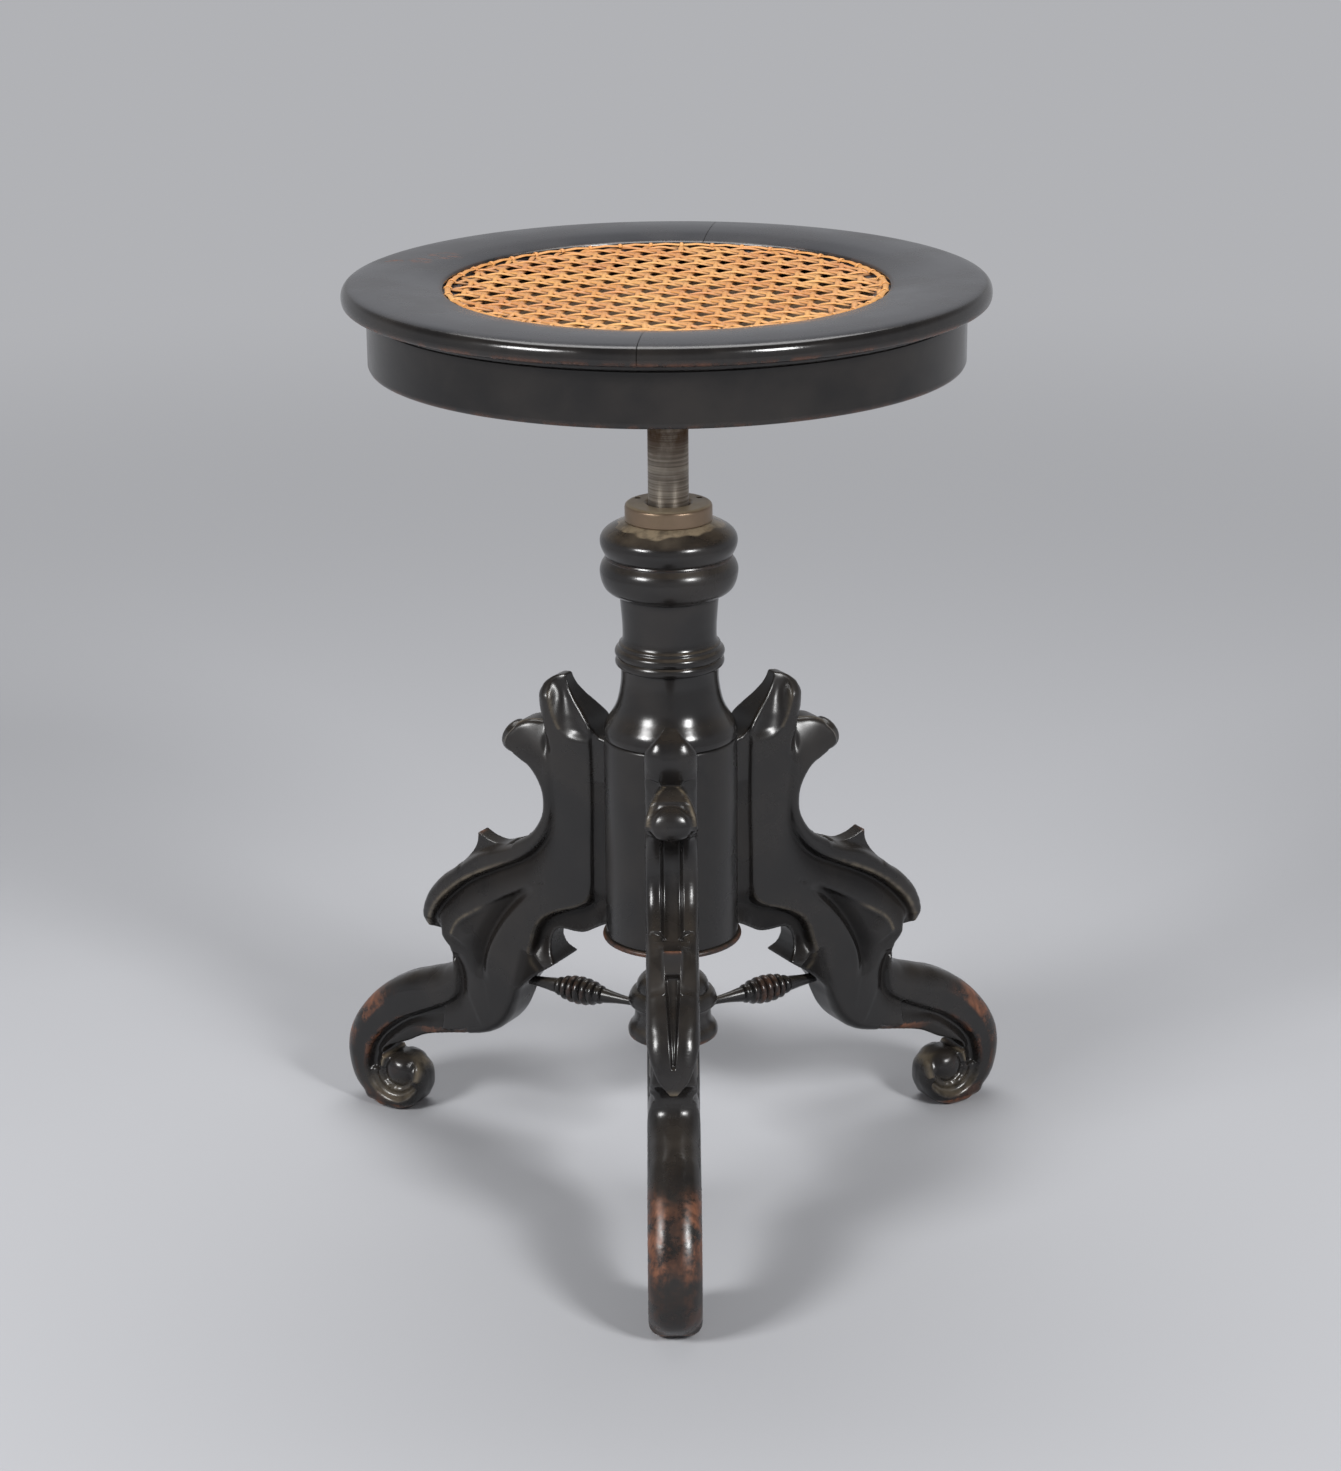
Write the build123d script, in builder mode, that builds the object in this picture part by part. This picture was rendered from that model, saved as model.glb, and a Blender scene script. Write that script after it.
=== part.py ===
from build123d import *
from math import cos, pi, radians, sin
import os

# A revolving piano stool: a round caned seat that turns and rises on a concealed screw, over a
# turned pillar with three carved scroll legs, which turned stretchers tie to a small hub.
# Millimetres, +Z up. The origin is on the floor, under the middle of the stool's outline. The
# front leg reaches further than the seat does at the back, so the pillar stands column_y behind
# the origin. The seat is at its everyday height, part of the way up its screw.

# ---- pillar ---------------------------------------------------------------------------
drum_radius = 37.6  # plain cylinder that the legs are fixed to
drum_floor = 150.0  # height of the drum's lower end over the floor
drum_height = 118.0
disc_overhang = 2.0  # base disc beyond the drum
disc_thick = 3.0
vase_height = 124.5  # turned upper pillar, from the drum to the collar
vase_overhang = 0.8  # its rolls beyond the drum
vase_neck = 26.2  # its thinnest place
spigot_radius = 24.0  # joins the vase to the drum
spigot_length = 16.0
pillar_bore = 14.5  # clears the spindle tube all the way down

# ---- concealed lifting screw ----------------------------------------------------------
travel_up = 48.0
travel_down = 60.0
tube_radius = 11.25
tube_wall = 2.6
running_gap = 0.05  # shaft in bush
stop_gap = 2.0  # what is left at either end of the travel
screw_radius = 6.4
screw_shoulder = 9.0
shoulder_thick = 3.0
screw_tip = 1.5  # chamfer
nut_height = 24.0
stop_nut_height = 8.0
stop_nut_gap = 0.5
foot_plate_radius = 23.0
foot_plate_thick = 5.0
foot_recess = 8.0
foot_screw_circle = 16.0
foot_screw_count = 3

# ---- collar ---------------------------------------------------------------------------
collar_radius = 24.2
collar_height = 10.0
collar_neck_radius = 17.0
collar_neck_length = 16.0
collar_round = 1.4
collar_mouth = 1.9  # countersink round the tube
spanner_azimuths = (28.0, 152.0)
spanner_radius = 1.7
spanner_circle = 19.2
spanner_depth = 3.0

# ---- seat -----------------------------------------------------------------------------
seat_radius = 175.0
ring_thick = 10.8
ring_opening = 112.0
ring_joints = (-95.0, 80.0)  # azimuths of the two glued joints in the ring
rebate_radius = 120.2  # round the caning
rebate_depth = 6.6
apron_radius = 161.8
apron_wall = 8.5
apron_height = 34.5
bead_size = 2.2  # small bead where the apron meets the ring
board_thick = 16.0
board_inset = 4.5  # board's underside above the apron's lower edge
cane_thick = 0.8
cane_edge_gap = 1.8
cane_turn = -5.6  # azimuth of its level strands
cane_pitch = 11.65  # from one strand to the next, both ways, with a hole in every second square
cane_hole = 8.4
cane_start = (-40.2, 26.5)  # one of the holes, from the pillar's axis
slant_width = 2.6  # diagonal strands, which pass between the holes and stand up
slant_rise = 0.5
binder_width = 3.4
binder_thick = 0.9
binder_slope = 0.7  # its edges lean in
block_count = 8
block_width = 28.0
block_depth = 16.0
spider_radius = 54.0  # iron plate under the board
spider_thick = 5.0
boss_radius = 19.0
boss_height = 17.0
boss_chamfer = 1.5
boss_flare = 7.0  # where the boss spreads into the plate
spider_screw_circle = 42.0
spider_screw_count = 4
wood_screw_radius = 2.4
wood_screw_head = 4.8
wood_screw_length = 14.0

# ---- legs, from the carver's template --------------------------------------------------
leg_azimuths = {"front": -90.0, "right": 30.0, "left": 150.0}
leg_thick = 28.8
leg_reach = 186.7  # from the drum to the end of the toe
leaf_rise = 26.7  # top leaf above the drum
template = (37.6, 186.7, 150.0, 118.0, 26.7)  # drum radius, reach, floor, height and leaf it was drawn for
channel_width = 9.0  # groove between the two beads of the outer edge
slot_width = 6.0  # the same groove below the spur
cove_depth = 4.6  # hollow of the toe's scroll
hollow_depth = 3.4  # S-shaped hollow in the cheek
strip_depth = 3.0  # flat fillet beside the drum
eye_radius = 8.4
dowel_radius = 4.0
dowel_in_drum = 13.0
dowel_in_leg = 22.0
dowel_count = 3
dowel_edge = 26.0

# ---- stretchers and hub ----------------------------------------------------------------
tenon_length = 9.0
stretcher_thin = 2.7
bulb_radius = 8.3
bulb_length = 31.5
bulb_rings = 7
bulb_groove = 1.3
bulb_neck = 1.6  # how far the leg end has swelled where the bulb starts
bulb_from_leg = 19.5
hub_radius = 26.0
hub_waist = 21.9
hub_height = 38.0
hub_drop = 13.5  # hub's underside below the stretchers

# ---- heights that follow ----------------------------------------------------------------
column_y = (drum_radius + leg_reach - seat_radius) / 2
drum_top = drum_floor + drum_height
vase_top = drum_top + vase_height
collar_top = vase_top + collar_height
plate_top = drum_floor + foot_recess
plate_floor = plate_top - foot_plate_thick
shoulder_top = plate_top + shoulder_thick
tube_floor = shoulder_top + travel_down + stop_gap
nut_top = tube_floor + nut_height
stop_floor = nut_top + travel_up + stop_gap
screw_top = stop_floor + stop_nut_height + stop_gap
boss_floor = collar_top + travel_down + stop_gap
spider_floor = boss_floor + boss_height
board_floor = spider_floor + spider_thick
board_top = board_floor + board_thick
apron_floor = board_floor - board_inset
ring_floor = apron_floor + apron_height
ring_top = ring_floor + ring_thick
cane_floor = ring_top - rebate_depth
cane_top = cane_floor + cane_thick
apron_bore = apron_radius - apron_wall
tube_bore = tube_radius - tube_wall
cane_radius = rebate_radius - cane_edge_gap
leg_half = leg_thick / 2

pillar_axis = Axis((0, column_y, 0), (0, 0, 1))


def level(height):
    """A flat plane at a height, centred on the pillar."""
    return Plane((0, column_y, height))


def outward(azimuth):
    """The upright plane through the pillar at an azimuth: its x runs out, its y runs up."""
    turn = radians(azimuth)
    return Plane((0, column_y, 0), x_dir=(cos(turn), sin(turn), 0), z_dir=(sin(turn), -cos(turn), 0))


def facing(azimuth, radius, height):
    """A plane at a radius and height, looking out from the pillar."""
    turn = radians(azimuth)
    place = (radius * cos(turn), column_y + radius * sin(turn), height)
    return Plane(place, x_dir=(-sin(turn), cos(turn), 0), z_dir=(cos(turn), sin(turn), 0))


def at(out, up):
    """A point of the leg's template, at the size and place that this stool gives it."""
    drawn_radius, drawn_reach, drawn_floor, drawn_height, drawn_leaf = template
    x = drum_radius + (out - drawn_radius) * leg_reach / drawn_reach
    if up <= drawn_floor:
        return x, up * drum_floor / drawn_floor
    over = up - drawn_floor
    if over <= drawn_height:
        return x, drum_floor + over * drum_height / drawn_height
    return x, drum_top + (over - drawn_height) * leaf_rise / drawn_leaf


def mapped(*pairs):
    return [at(*pair) for pair in pairs]


def save(piece, name):
    piece.part.label = name
    export_step(piece.part, f"parts/{name}.step")


stretcher_out, stretcher_height = at(98.0, 99.5)  # where a stretcher meets its leg
hub_floor = stretcher_height - hub_drop
dowel_step = (drum_height - 2 * dowel_edge) / (dowel_count - 1)
dowel_heights = [drum_floor + dowel_edge + i * dowel_step for i in range(dowel_count)]

os.makedirs("parts", exist_ok=True)

# ======== the leg's template, drawn flat: x out from the pillar's axis, y up ========

with BuildSketch() as leg_outline:
    inside = drum_radius - 4.0
    with BuildLine():
        Polyline((inside, at(0, 153)[1]), (inside, at(0, 262)[1]))
        Line((inside, at(0, 262)[1]), at(40.5, 264))
        Spline(*mapped((40.5, 264), (47, 267), (57.5, 279), (66, 294.7)), tangents=((1, 0.3), (0.35, 1)))
        Spline(*mapped((66, 294.7), (73.5, 289.5), (77, 277), (74, 262)), tangents=((1, -0.1), (-0.45, -1)))
        Spline(*mapped((74, 262), (85.3, 267.3), (97, 260.5), (101.3, 249.5)), tangents=((0.8, 1), (0, -1)))
        bay = mapped((101.3, 249.5), (91, 243.2), (78, 219), (94, 191.5), (121, 192.5))
        Spline(*bay, tangents=((-0.7, -0.7), (0.8, 0.5)))
        knee = mapped((121, 192.5), (137, 170.5), (156.5, 149), (162.6, 132.5), (160.8, 123.8))
        Spline(*knee, tangents=((0.8, -0.7), (-0.35, -1)))
        ankle = mapped((160.8, 123.8), (150.5, 120.5), (146.2, 109), (157, 96))
        Spline(*ankle, tangents=((-1, 0), (1, -0.45)))
        toe = mapped((157, 96), (182, 84.6), (208.5, 70.5), (222.8, 46), (222.6, 18.5), (212, 4.8), (196, 0))
        Spline(*toe, tangents=((1, -0.45), (-1, 0)))
        Line(at(196, 0), at(188, 0))
        curl = mapped((188, 0), (178.5, 8), (177, 19), (183, 30.5), (191, 32.8), (199.5, 28.5))
        Spline(*curl, tangents=((-1, 0), (0.6, -0.9)))
        ThreePointArc(*mapped((199.5, 28.5), (203, 31), (202.5, 35)))
        arch = mapped((202.5, 35), (193, 41.2), (180.5, 45.2), (164.6, 54.9), (130, 62.3), (103.5, 80.3))
        Spline(*arch, *mapped((98, 99), (91, 106)), tangents=((-0.8, 0.6), (-1, 0.5)))
        Spline(*mapped((91, 106), (83, 110), (75, 115.5)), tangents=((-0.9, 0.4), (-0.8, 0.6)))
        shoulder = mapped((75, 115.5), (79.5, 124), (73, 138.5), (60, 144.2))
        Spline(*shoulder, (inside, at(0, 153)[1]), tangents=((0.9, 0.9), (-0.9, 0.5)))
    make_face()
    for corner, radius in (
        ((66, 294.7), 4.0),
        ((101.3, 249.5), 3.2),
        ((121, 192.5), 3.2),
        ((160.8, 123.8), 2.8),
        ((75, 115.5), 3.0),
        ((91, 106), 4.0),
    ):
        fillet(leg_outline.vertices().sort_by_distance((*at(*corner), 0))[0], radius)

with BuildSketch() as leg_strip:
    with BuildLine():
        strip = mapped((47.5, 300), (47.5, 225), (48.2, 202), (49.3, 178), (54, 163), (68, 155), (84, 142))
        Spline(*strip, tangents=((0, -1), (0.8, -0.9)))
        behind = [(inside - 1, at(0, 130)[1]), (inside - 1, at(0, 300)[1])]
        Polyline(at(84, 142), at(84, 130), *behind, at(47.5, 300))
    make_face()

with BuildSketch() as leg_channel:
    with BuildLine():
        groove = mapped((93, 250), (83, 240), (73, 219), (82, 196), (95, 186.5), (114, 186))
        Spline(*groove, tangents=((-1, -0.7), (1, 0.2)))
        Polyline(*mapped((114, 186), (120, 205), (100, 215), (101, 246), (93, 250)))
    make_face()

with BuildSketch() as leg_slot:
    with BuildLine():
        slot = mapped((119.5, 183), (133, 166), (151.5, 146.5), (160, 128))
        Spline(*slot, tangents=((0.7, -0.7), (0.3, -1)))
        Polyline(*mapped((160, 128), (175, 140), (140, 185), (128.5, 189), (119.5, 183)))
    make_face()

with BuildSketch() as leg_hollow:
    with BuildLine():
        hollow_out = mapped((88, 165.5), (103.7, 155.8), (125.2, 143.7), (140, 128))
        Spline(*hollow_out, tangents=((1, -0.5), (0.6, -0.9)))
        hollow_down = mapped((140, 128), (136, 113), (146, 96))
        Spline(*hollow_down, tangents=((-0.5, -1), (0.8, -0.5)))
        hollow_back = mapped((146, 96), (128, 98), (116.9, 112.5), (108.1, 139.5), (88, 165.5))
        Spline(*hollow_back, tangents=((-1, 0.1), (-0.9, 0.7)))
    make_face()

eye_x, eye_z = at(186.7, 24.3)
with BuildSketch() as leg_cove:
    with BuildLine():
        cove_out = mapped((151, 79), (182.4, 65), (206.5, 46.5), (212.9, 25), (201, 6.8), (187, 6.5))
        Spline(*cove_out, at(179.5, 13.5), tangents=((1, -0.45), (-0.6, 0.9)))
        Polyline(*mapped((179.5, 13.5), (186.7, 24.3), (202, 27)))
        cove_back = mapped((202, 27), (206, 35), (195, 44.5), (176, 57), (151, 79))
        Spline(*cove_back, tangents=((0.7, 0.5), (-0.6, 0.7)))
    make_face()
    with Locations((eye_x, eye_z)):
        Circle(eye_radius, mode=Mode.SUBTRACT)

# ======== small fastenings, which the pieces around them are cut to ========

with BuildPart() as foot_screws:
    with BuildSketch(level(plate_floor)):
        with PolarLocations(foot_screw_circle, foot_screw_count):
            Circle(wood_screw_head)
    extrude(amount=wood_screw_head - wood_screw_radius, taper=45)
    with BuildSketch(level(plate_floor)):
        with PolarLocations(foot_screw_circle, foot_screw_count):
            Circle(wood_screw_radius)
    extrude(amount=foot_plate_thick + wood_screw_length)
save(foot_screws, "foot_screws")

with BuildPart() as spider_screws:
    with BuildSketch(level(spider_floor)):
        with PolarLocations(spider_screw_circle, spider_screw_count, start_angle=45):
            Circle(wood_screw_head)
    extrude(amount=wood_screw_head - wood_screw_radius, taper=45)
    with BuildSketch(level(spider_floor)):
        with PolarLocations(spider_screw_circle, spider_screw_count, start_angle=45):
            Circle(wood_screw_radius)
    extrude(amount=wood_screw_length)
save(spider_screws, "spider_screws")

leg_dowels = {}
for side, azimuth in leg_azimuths.items():
    with BuildPart() as dowels:
        for height in dowel_heights:
            with BuildSketch(facing(azimuth, drum_radius - dowel_in_drum, height)):
                Circle(dowel_radius)
            extrude(amount=dowel_in_drum + dowel_in_leg)
    leg_dowels[side] = dowels.part
    save(dowels, f"dowels_{side}")

# ======== pillar ========

with BuildPart() as drum:
    with BuildSketch(level(drum_floor)):
        Circle(drum_radius)
        Circle(pillar_bore, mode=Mode.SUBTRACT)
    extrude(amount=drum_height)
    with BuildSketch(level(drum_floor)):
        Circle(foot_plate_radius)
    extrude(amount=foot_recess, mode=Mode.SUBTRACT)
    with BuildSketch(level(drum_top)):
        Circle(spigot_radius)
    extrude(amount=-spigot_length, mode=Mode.SUBTRACT)
    for dowels_part in leg_dowels.values():
        add(dowels_part, mode=Mode.SUBTRACT)
    add(foot_screws.part, mode=Mode.SUBTRACT)
save(drum, "column_drum")

with BuildPart() as base_disc:
    with BuildSketch(level(drum_floor)):
        Circle(drum_radius + disc_overhang)
    extrude(amount=-disc_thick)
    fillet(base_disc.edges(), disc_thick * 0.3)
save(base_disc, "column_base_disc")

with BuildPart() as vase:
    reach = drum_radius + vase_overhang

    def turned(radius, height):
        """A point of the turner's profile, between the neck and the widest roll."""
        wide = vase_neck + (radius - 26.2) * (reach - vase_neck) / 12.2
        return wide, drum_top + height * vase_height / 124.5

    def turning(*pairs):
        return [turned(*pair) for pair in pairs]

    with BuildSketch(outward(0)):
        with BuildLine():
            Polyline((0, drum_top), turned(37.6, 0))
            flare = turning((37.6, 0), (38.2, 1.2), (36.2, 6), (31.9, 13), (28.6, 22), (27.4, 32), (27.9, 41))
            Spline(*flare)
            ThreePointArc(*turning((27.9, 41), (30.6, 44), (29.2, 47)))
            ThreePointArc(*turning((29.2, 47), (30.8, 50), (28.6, 53)))
            Line(turned(28.6, 53), turned(27.4, 54.4))
            Spline(*turning((27.4, 54.4), (26.2, 60), (26.6, 70), (27.5, 80)))
            Line(turned(27.5, 80), turned(28.4, 82.6))
            Spline(*turning((28.4, 82.6), (35.2, 87.2), (38.2, 94), (38.4, 97), (36.2, 102.8), (35, 105.6)))
            roll = turning((35, 105.6), (37.4, 109), (38.2, 113), (36.9, 117.6), (30.5, 121.6), (24.2, 124.5))
            Spline(*roll)
            Polyline(turned(24.2, 124.5), (0, vase_top), (0, drum_top))
        make_face()
    revolve(axis=pillar_axis)
    with BuildSketch(level(drum_top)):
        Circle(spigot_radius)
    extrude(amount=-spigot_length)
    with BuildSketch(level(drum_top - spigot_length)):
        Circle(pillar_bore)
    extrude(amount=spigot_length + vase_height, mode=Mode.SUBTRACT)
    with BuildSketch(level(vase_top)):
        Circle(collar_neck_radius)
    extrude(amount=-collar_neck_length, mode=Mode.SUBTRACT)
save(vase, "column_vase")

with BuildPart() as collar:
    with BuildSketch(level(vase_top)):
        Circle(collar_radius)
    extrude(amount=collar_height)
    fillet(collar.edges().group_by(Axis.Z)[-1], collar_round)
    with BuildSketch(level(vase_top)):
        Circle(collar_neck_radius)
    extrude(amount=-collar_neck_length)
    with BuildSketch(level(vase_top - collar_neck_length)):
        Circle(tube_radius + running_gap)
    extrude(amount=collar_neck_length + collar_height, mode=Mode.SUBTRACT)
    chamfer(collar.edges().group_by(Axis.Z)[-1].sort_by(SortBy.RADIUS)[0], collar_mouth)
    for azimuth in spanner_azimuths:
        with BuildSketch(level(collar_top)):
            with PolarLocations(spanner_circle, 1, start_angle=azimuth):
                Circle(spanner_radius)
        extrude(amount=-spanner_depth, mode=Mode.SUBTRACT)
save(collar, "guide_collar")

# ======== concealed screw ========

with BuildPart() as foot_plate:
    with BuildSketch(level(plate_floor)):
        Circle(foot_plate_radius)
        Circle(screw_radius, mode=Mode.SUBTRACT)
    extrude(amount=foot_plate_thick)
    add(foot_screws.part, mode=Mode.SUBTRACT)
save(foot_plate, "screw_foot_plate")

with BuildPart() as lift_screw:
    with BuildSketch(level(plate_floor)):
        Circle(screw_radius)
    extrude(amount=screw_top - plate_floor)
    chamfer(lift_screw.edges().group_by(Axis.Z)[-1], screw_tip)
    with BuildSketch(level(plate_top)):
        Circle(screw_shoulder)
    extrude(amount=shoulder_thick)
save(lift_screw, "lift_screw")

with BuildPart() as stop_nut:
    with BuildSketch(level(stop_floor)):
        Circle(tube_bore - stop_nut_gap)
        Circle(screw_radius, mode=Mode.SUBTRACT)
    extrude(amount=stop_nut_height)
save(stop_nut, "stop_nut")

with BuildPart() as lift_nut:
    with BuildSketch(level(tube_floor)):
        Circle(tube_bore - running_gap)
        Circle(screw_radius + running_gap, mode=Mode.SUBTRACT)
    extrude(amount=nut_height)
save(lift_nut, "lift_nut")

with BuildPart() as tube:
    with BuildSketch(level(tube_floor)):
        Circle(tube_radius)
        Circle(tube_bore, mode=Mode.SUBTRACT)
    extrude(amount=board_floor - tube_floor)
save(tube, "spindle_tube")

# ======== seat ========

with BuildPart() as spider:
    with BuildSketch(outward(0)):
        with BuildLine():
            boss_side = (boss_radius, boss_floor + boss_chamfer)
            boss_root = (boss_radius + boss_flare, spider_floor)
            boss_waist = (boss_radius + boss_flare * 0.3, boss_floor + boss_height * 0.7)
            Polyline((tube_radius, boss_floor), (boss_radius - boss_chamfer, boss_floor), boss_side)
            ThreePointArc(boss_side, boss_waist, boss_root)
            Polyline(boss_root, (spider_radius, spider_floor), (spider_radius, board_floor))
            Polyline((spider_radius, board_floor), (tube_radius, board_floor), (tube_radius, boss_floor))
        make_face()
    revolve(axis=pillar_axis)
    add(spider_screws.part, mode=Mode.SUBTRACT)
save(spider, "seat_spider")

with BuildPart() as board:
    with BuildSketch(level(board_floor)):
        Circle(apron_bore)
    extrude(amount=board_thick)
    add(spider_screws.part, mode=Mode.SUBTRACT)
save(board, "seat_board")

with BuildPart() as apron:
    with BuildSketch(outward(0)):
        with BuildLine():
            bead_foot = ring_floor - 2 * bead_size
            lip = 2.0
            Polyline((apron_bore, ring_floor), (apron_bore, apron_floor), (apron_radius - lip, apron_floor))
            RadiusArc((apron_radius - lip, apron_floor), (apron_radius, apron_floor + lip), -lip)
            Line((apron_radius, apron_floor + lip), (apron_radius, bead_foot))
            ThreePointArc(
                (apron_radius, bead_foot),
                (apron_radius + bead_size, bead_foot + bead_size),
                (apron_radius + bead_size / 2, ring_floor),
            )
            Line((apron_radius + bead_size / 2, ring_floor), (apron_bore, ring_floor))
        make_face()
    revolve(axis=pillar_axis)
save(apron, "seat_apron")

with BuildPart() as blocks:
    with BuildSketch(level(board_top)):
        with PolarLocations(apron_bore - block_depth / 2, block_count, start_angle=22.5):
            Rectangle(block_depth + 4.0, block_width)
        Circle(apron_bore, mode=Mode.INTERSECT)
    extrude(amount=ring_floor - board_top)
save(blocks, "glue_blocks")

for side, joint, arc in (
    ("right", ring_joints[0], ring_joints[1] - ring_joints[0]),
    ("left", ring_joints[1], 360 - ring_joints[1] + ring_joints[0]),
):
    with BuildPart() as ring:
        with BuildSketch(outward(joint)):
            with BuildLine():
                nose = (seat_radius - 2.0, ring_floor)
                brow = (seat_radius - 3.5, ring_top - 1.2)
                crown = (seat_radius - 23.0, ring_top)
                brim = (rebate_radius + 1.0, ring_top - 3.6)
                Line((ring_opening, ring_floor), nose)
                ThreePointArc(nose, (seat_radius, ring_floor + ring_thick * 0.4), brow)
                ThreePointArc(brow, ((brow[0] + crown[0]) / 2, ring_top - 0.3), crown)
                ThreePointArc(crown, ((crown[0] + brim[0]) / 2, ring_top - 0.9), brim)
                Polyline(
                    brim,
                    (rebate_radius, ring_top - 4.2),
                    (rebate_radius, cane_floor),
                    (ring_opening, cane_floor),
                    (ring_opening, ring_floor),
                )
            make_face()
        revolve(axis=pillar_axis, revolution_arc=arc)
    save(ring, f"seat_ring_{side}")

weave_radius = cane_radius - binder_width - cane_hole / 2
weave_reach = range(-12, 13)
along, across = cos(radians(cane_turn)) * cane_pitch, sin(radians(cane_turn)) * cane_pitch
squares = [(m, n) for m in weave_reach for n in weave_reach if (m + n) % 2 == 0]
weave = [
    (cane_start[0] + m * along - n * across, cane_start[1] + m * across + n * along) for m, n in squares
]
cane_holes = [(x, y) for x, y in weave if (x * x + y * y) ** 0.5 < weave_radius - slant_rise]
slant_gap = cane_pitch * 2**0.5
slants = [(0, slant_gap * (k + 0.5)) for k in weave_reach]

with BuildPart() as cane:
    with BuildSketch(level(cane_floor)):
        Circle(cane_radius)
        with Locations(*cane_holes):
            Circle(cane_hole / 2, mode=Mode.SUBTRACT)
    extrude(amount=cane_thick)
    with BuildSketch(level(cane_top)):
        with Locations(Location((*cane_start, 0), (0, 0, cane_turn + 45))):
            with Locations(*slants):
                Rectangle(seat_radius * 2, slant_width)
        Circle(cane_radius - binder_width, mode=Mode.INTERSECT)
    extrude(amount=slant_rise)
save(cane, "cane_panel")

with BuildPart() as binder:
    with BuildSketch(outward(0)):
        with BuildLine():
            inner = cane_radius - binder_width
            binder_top = cane_top + binder_thick
            crest = [(cane_radius - binder_slope, binder_top), (inner + binder_slope, binder_top)]
            Polyline((inner, cane_top), (cane_radius, cane_top), *crest, (inner, cane_top))
        make_face()
    revolve(axis=pillar_axis)
save(binder, "cane_binder")

# ======== stretchers and hub ========

bulb_end = stretcher_out - bulb_from_leg
bulb_start = bulb_end - bulb_length
ring_width = bulb_length / bulb_rings
stretchers = {}
for side, azimuth in leg_azimuths.items():
    with BuildPart() as stretcher:
        with BuildSketch(outward(azimuth)):
            with BuildLine():
                thin = stretcher_height + stretcher_thin
                start = hub_waist - tenon_length
                end = stretcher_out + tenon_length
                Polyline((bulb_start, thin), (start, thin), (start, stretcher_height))
                Polyline((start, stretcher_height), (end, stretcher_height), (end, thin))
                Line((end, thin), (stretcher_out, thin))
                swell = [(stretcher_out, thin), (bulb_end + 5.0, thin + 0.7), (bulb_end, thin + bulb_neck)]
                Spline(*swell, tangents=((-1, 0), (-1, 0.5)))
                valley = [thin + bulb_neck]
                for i in range(1, bulb_rings):
                    full = sin(pi * i / bulb_rings) ** 0.7
                    valley.append(thin + full * (bulb_radius - stretcher_thin) - bulb_groove)
                valley.append(thin)
                for i in range(bulb_rings):
                    full = sin(pi * (i + 0.5) / bulb_rings) ** 0.7
                    crest = thin + full * (bulb_radius - stretcher_thin)
                    crest = max(crest, (valley[i] + valley[i + 1] + bulb_groove) / 2)
                    ThreePointArc(
                        (bulb_end - i * ring_width, valley[i]),
                        (bulb_end - (i + 0.5) * ring_width, crest),
                        (bulb_end - (i + 1) * ring_width, valley[i + 1]),
                    )
            make_face()
        revolve(axis=Axis(facing(azimuth, 0, stretcher_height).origin, outward(azimuth).x_dir))
    stretchers[side] = stretcher.part
    save(stretcher, f"stretcher_{side}")

with BuildPart() as hub:

    def hubbed(radius, height):
        """A point of the hub's profile, between its waist and its widest rim."""
        wide = hub_waist + (radius - 21.9) * (hub_radius - hub_waist) / 4.1
        return wide, hub_floor + height * hub_height / 38.0

    def hubs(*pairs):
        return [hubbed(*pair) for pair in pairs]

    with BuildSketch(outward(0)):
        with BuildLine():
            Polyline((0, hub_floor), hubbed(24.6, 0))
            Spline(*hubs((24.6, 0), (25.8, 2), (25.6, 5), (22.6, 9.5), (21.9, 13.5), (22.5, 17.5)))
            Polyline(*hubs((22.5, 17.5), (25.5, 20), (25.5, 22)))
            Spline(*hubs((25.5, 22), (24.6, 25), (22.6, 27.5)), tangents=((0, 1), (-1, 0.6)))
            Polyline(*hubs((22.6, 27.5), (20.6, 28.2)))
            Spline(*hubs((20.6, 28.2), (20.6, 30.5), (19.3, 33.7), (16.1, 36.8), (9, 38)))
            Polyline(hubbed(9, 38), (0, hub_floor + hub_height), (0, hub_floor))
        make_face()
    revolve(axis=pillar_axis)
    for stretcher_part in stretchers.values():
        add(stretcher_part, mode=Mode.SUBTRACT)
save(hub, "stretcher_hub")

# ======== legs ========

for side, azimuth in leg_azimuths.items():
    with BuildPart() as leg:
        with BuildSketch(outward(azimuth)):
            add(leg_outline.sketch)
        extrude(amount=leg_half, both=True)
        for carving, width in ((leg_channel, channel_width), (leg_slot, slot_width)):
            with BuildSketch(outward(azimuth)):
                add(carving.sketch)
            extrude(amount=width / 2, both=True, mode=Mode.SUBTRACT)
        cheek_cuts = ((leg_strip, strip_depth), (leg_hollow, hollow_depth), (leg_cove, cove_depth))
        for cheek in (1, -1):
            for carving, depth in cheek_cuts:
                with BuildSketch(outward(azimuth).offset(cheek * leg_half)):
                    add(carving.sketch)
                extrude(amount=-cheek * depth, mode=Mode.SUBTRACT)
        with BuildSketch(level(drum_floor)):
            Circle(drum_radius)
        extrude(amount=drum_height, mode=Mode.SUBTRACT)
        add(leg_dowels[side], mode=Mode.SUBTRACT)
        add(stretchers[side], mode=Mode.SUBTRACT)
    save(leg, f"leg_{side}")
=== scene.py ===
"""Dresses the revolving piano stool: carved ebonised legs, turned pillar, woven cane seat."""

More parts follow.
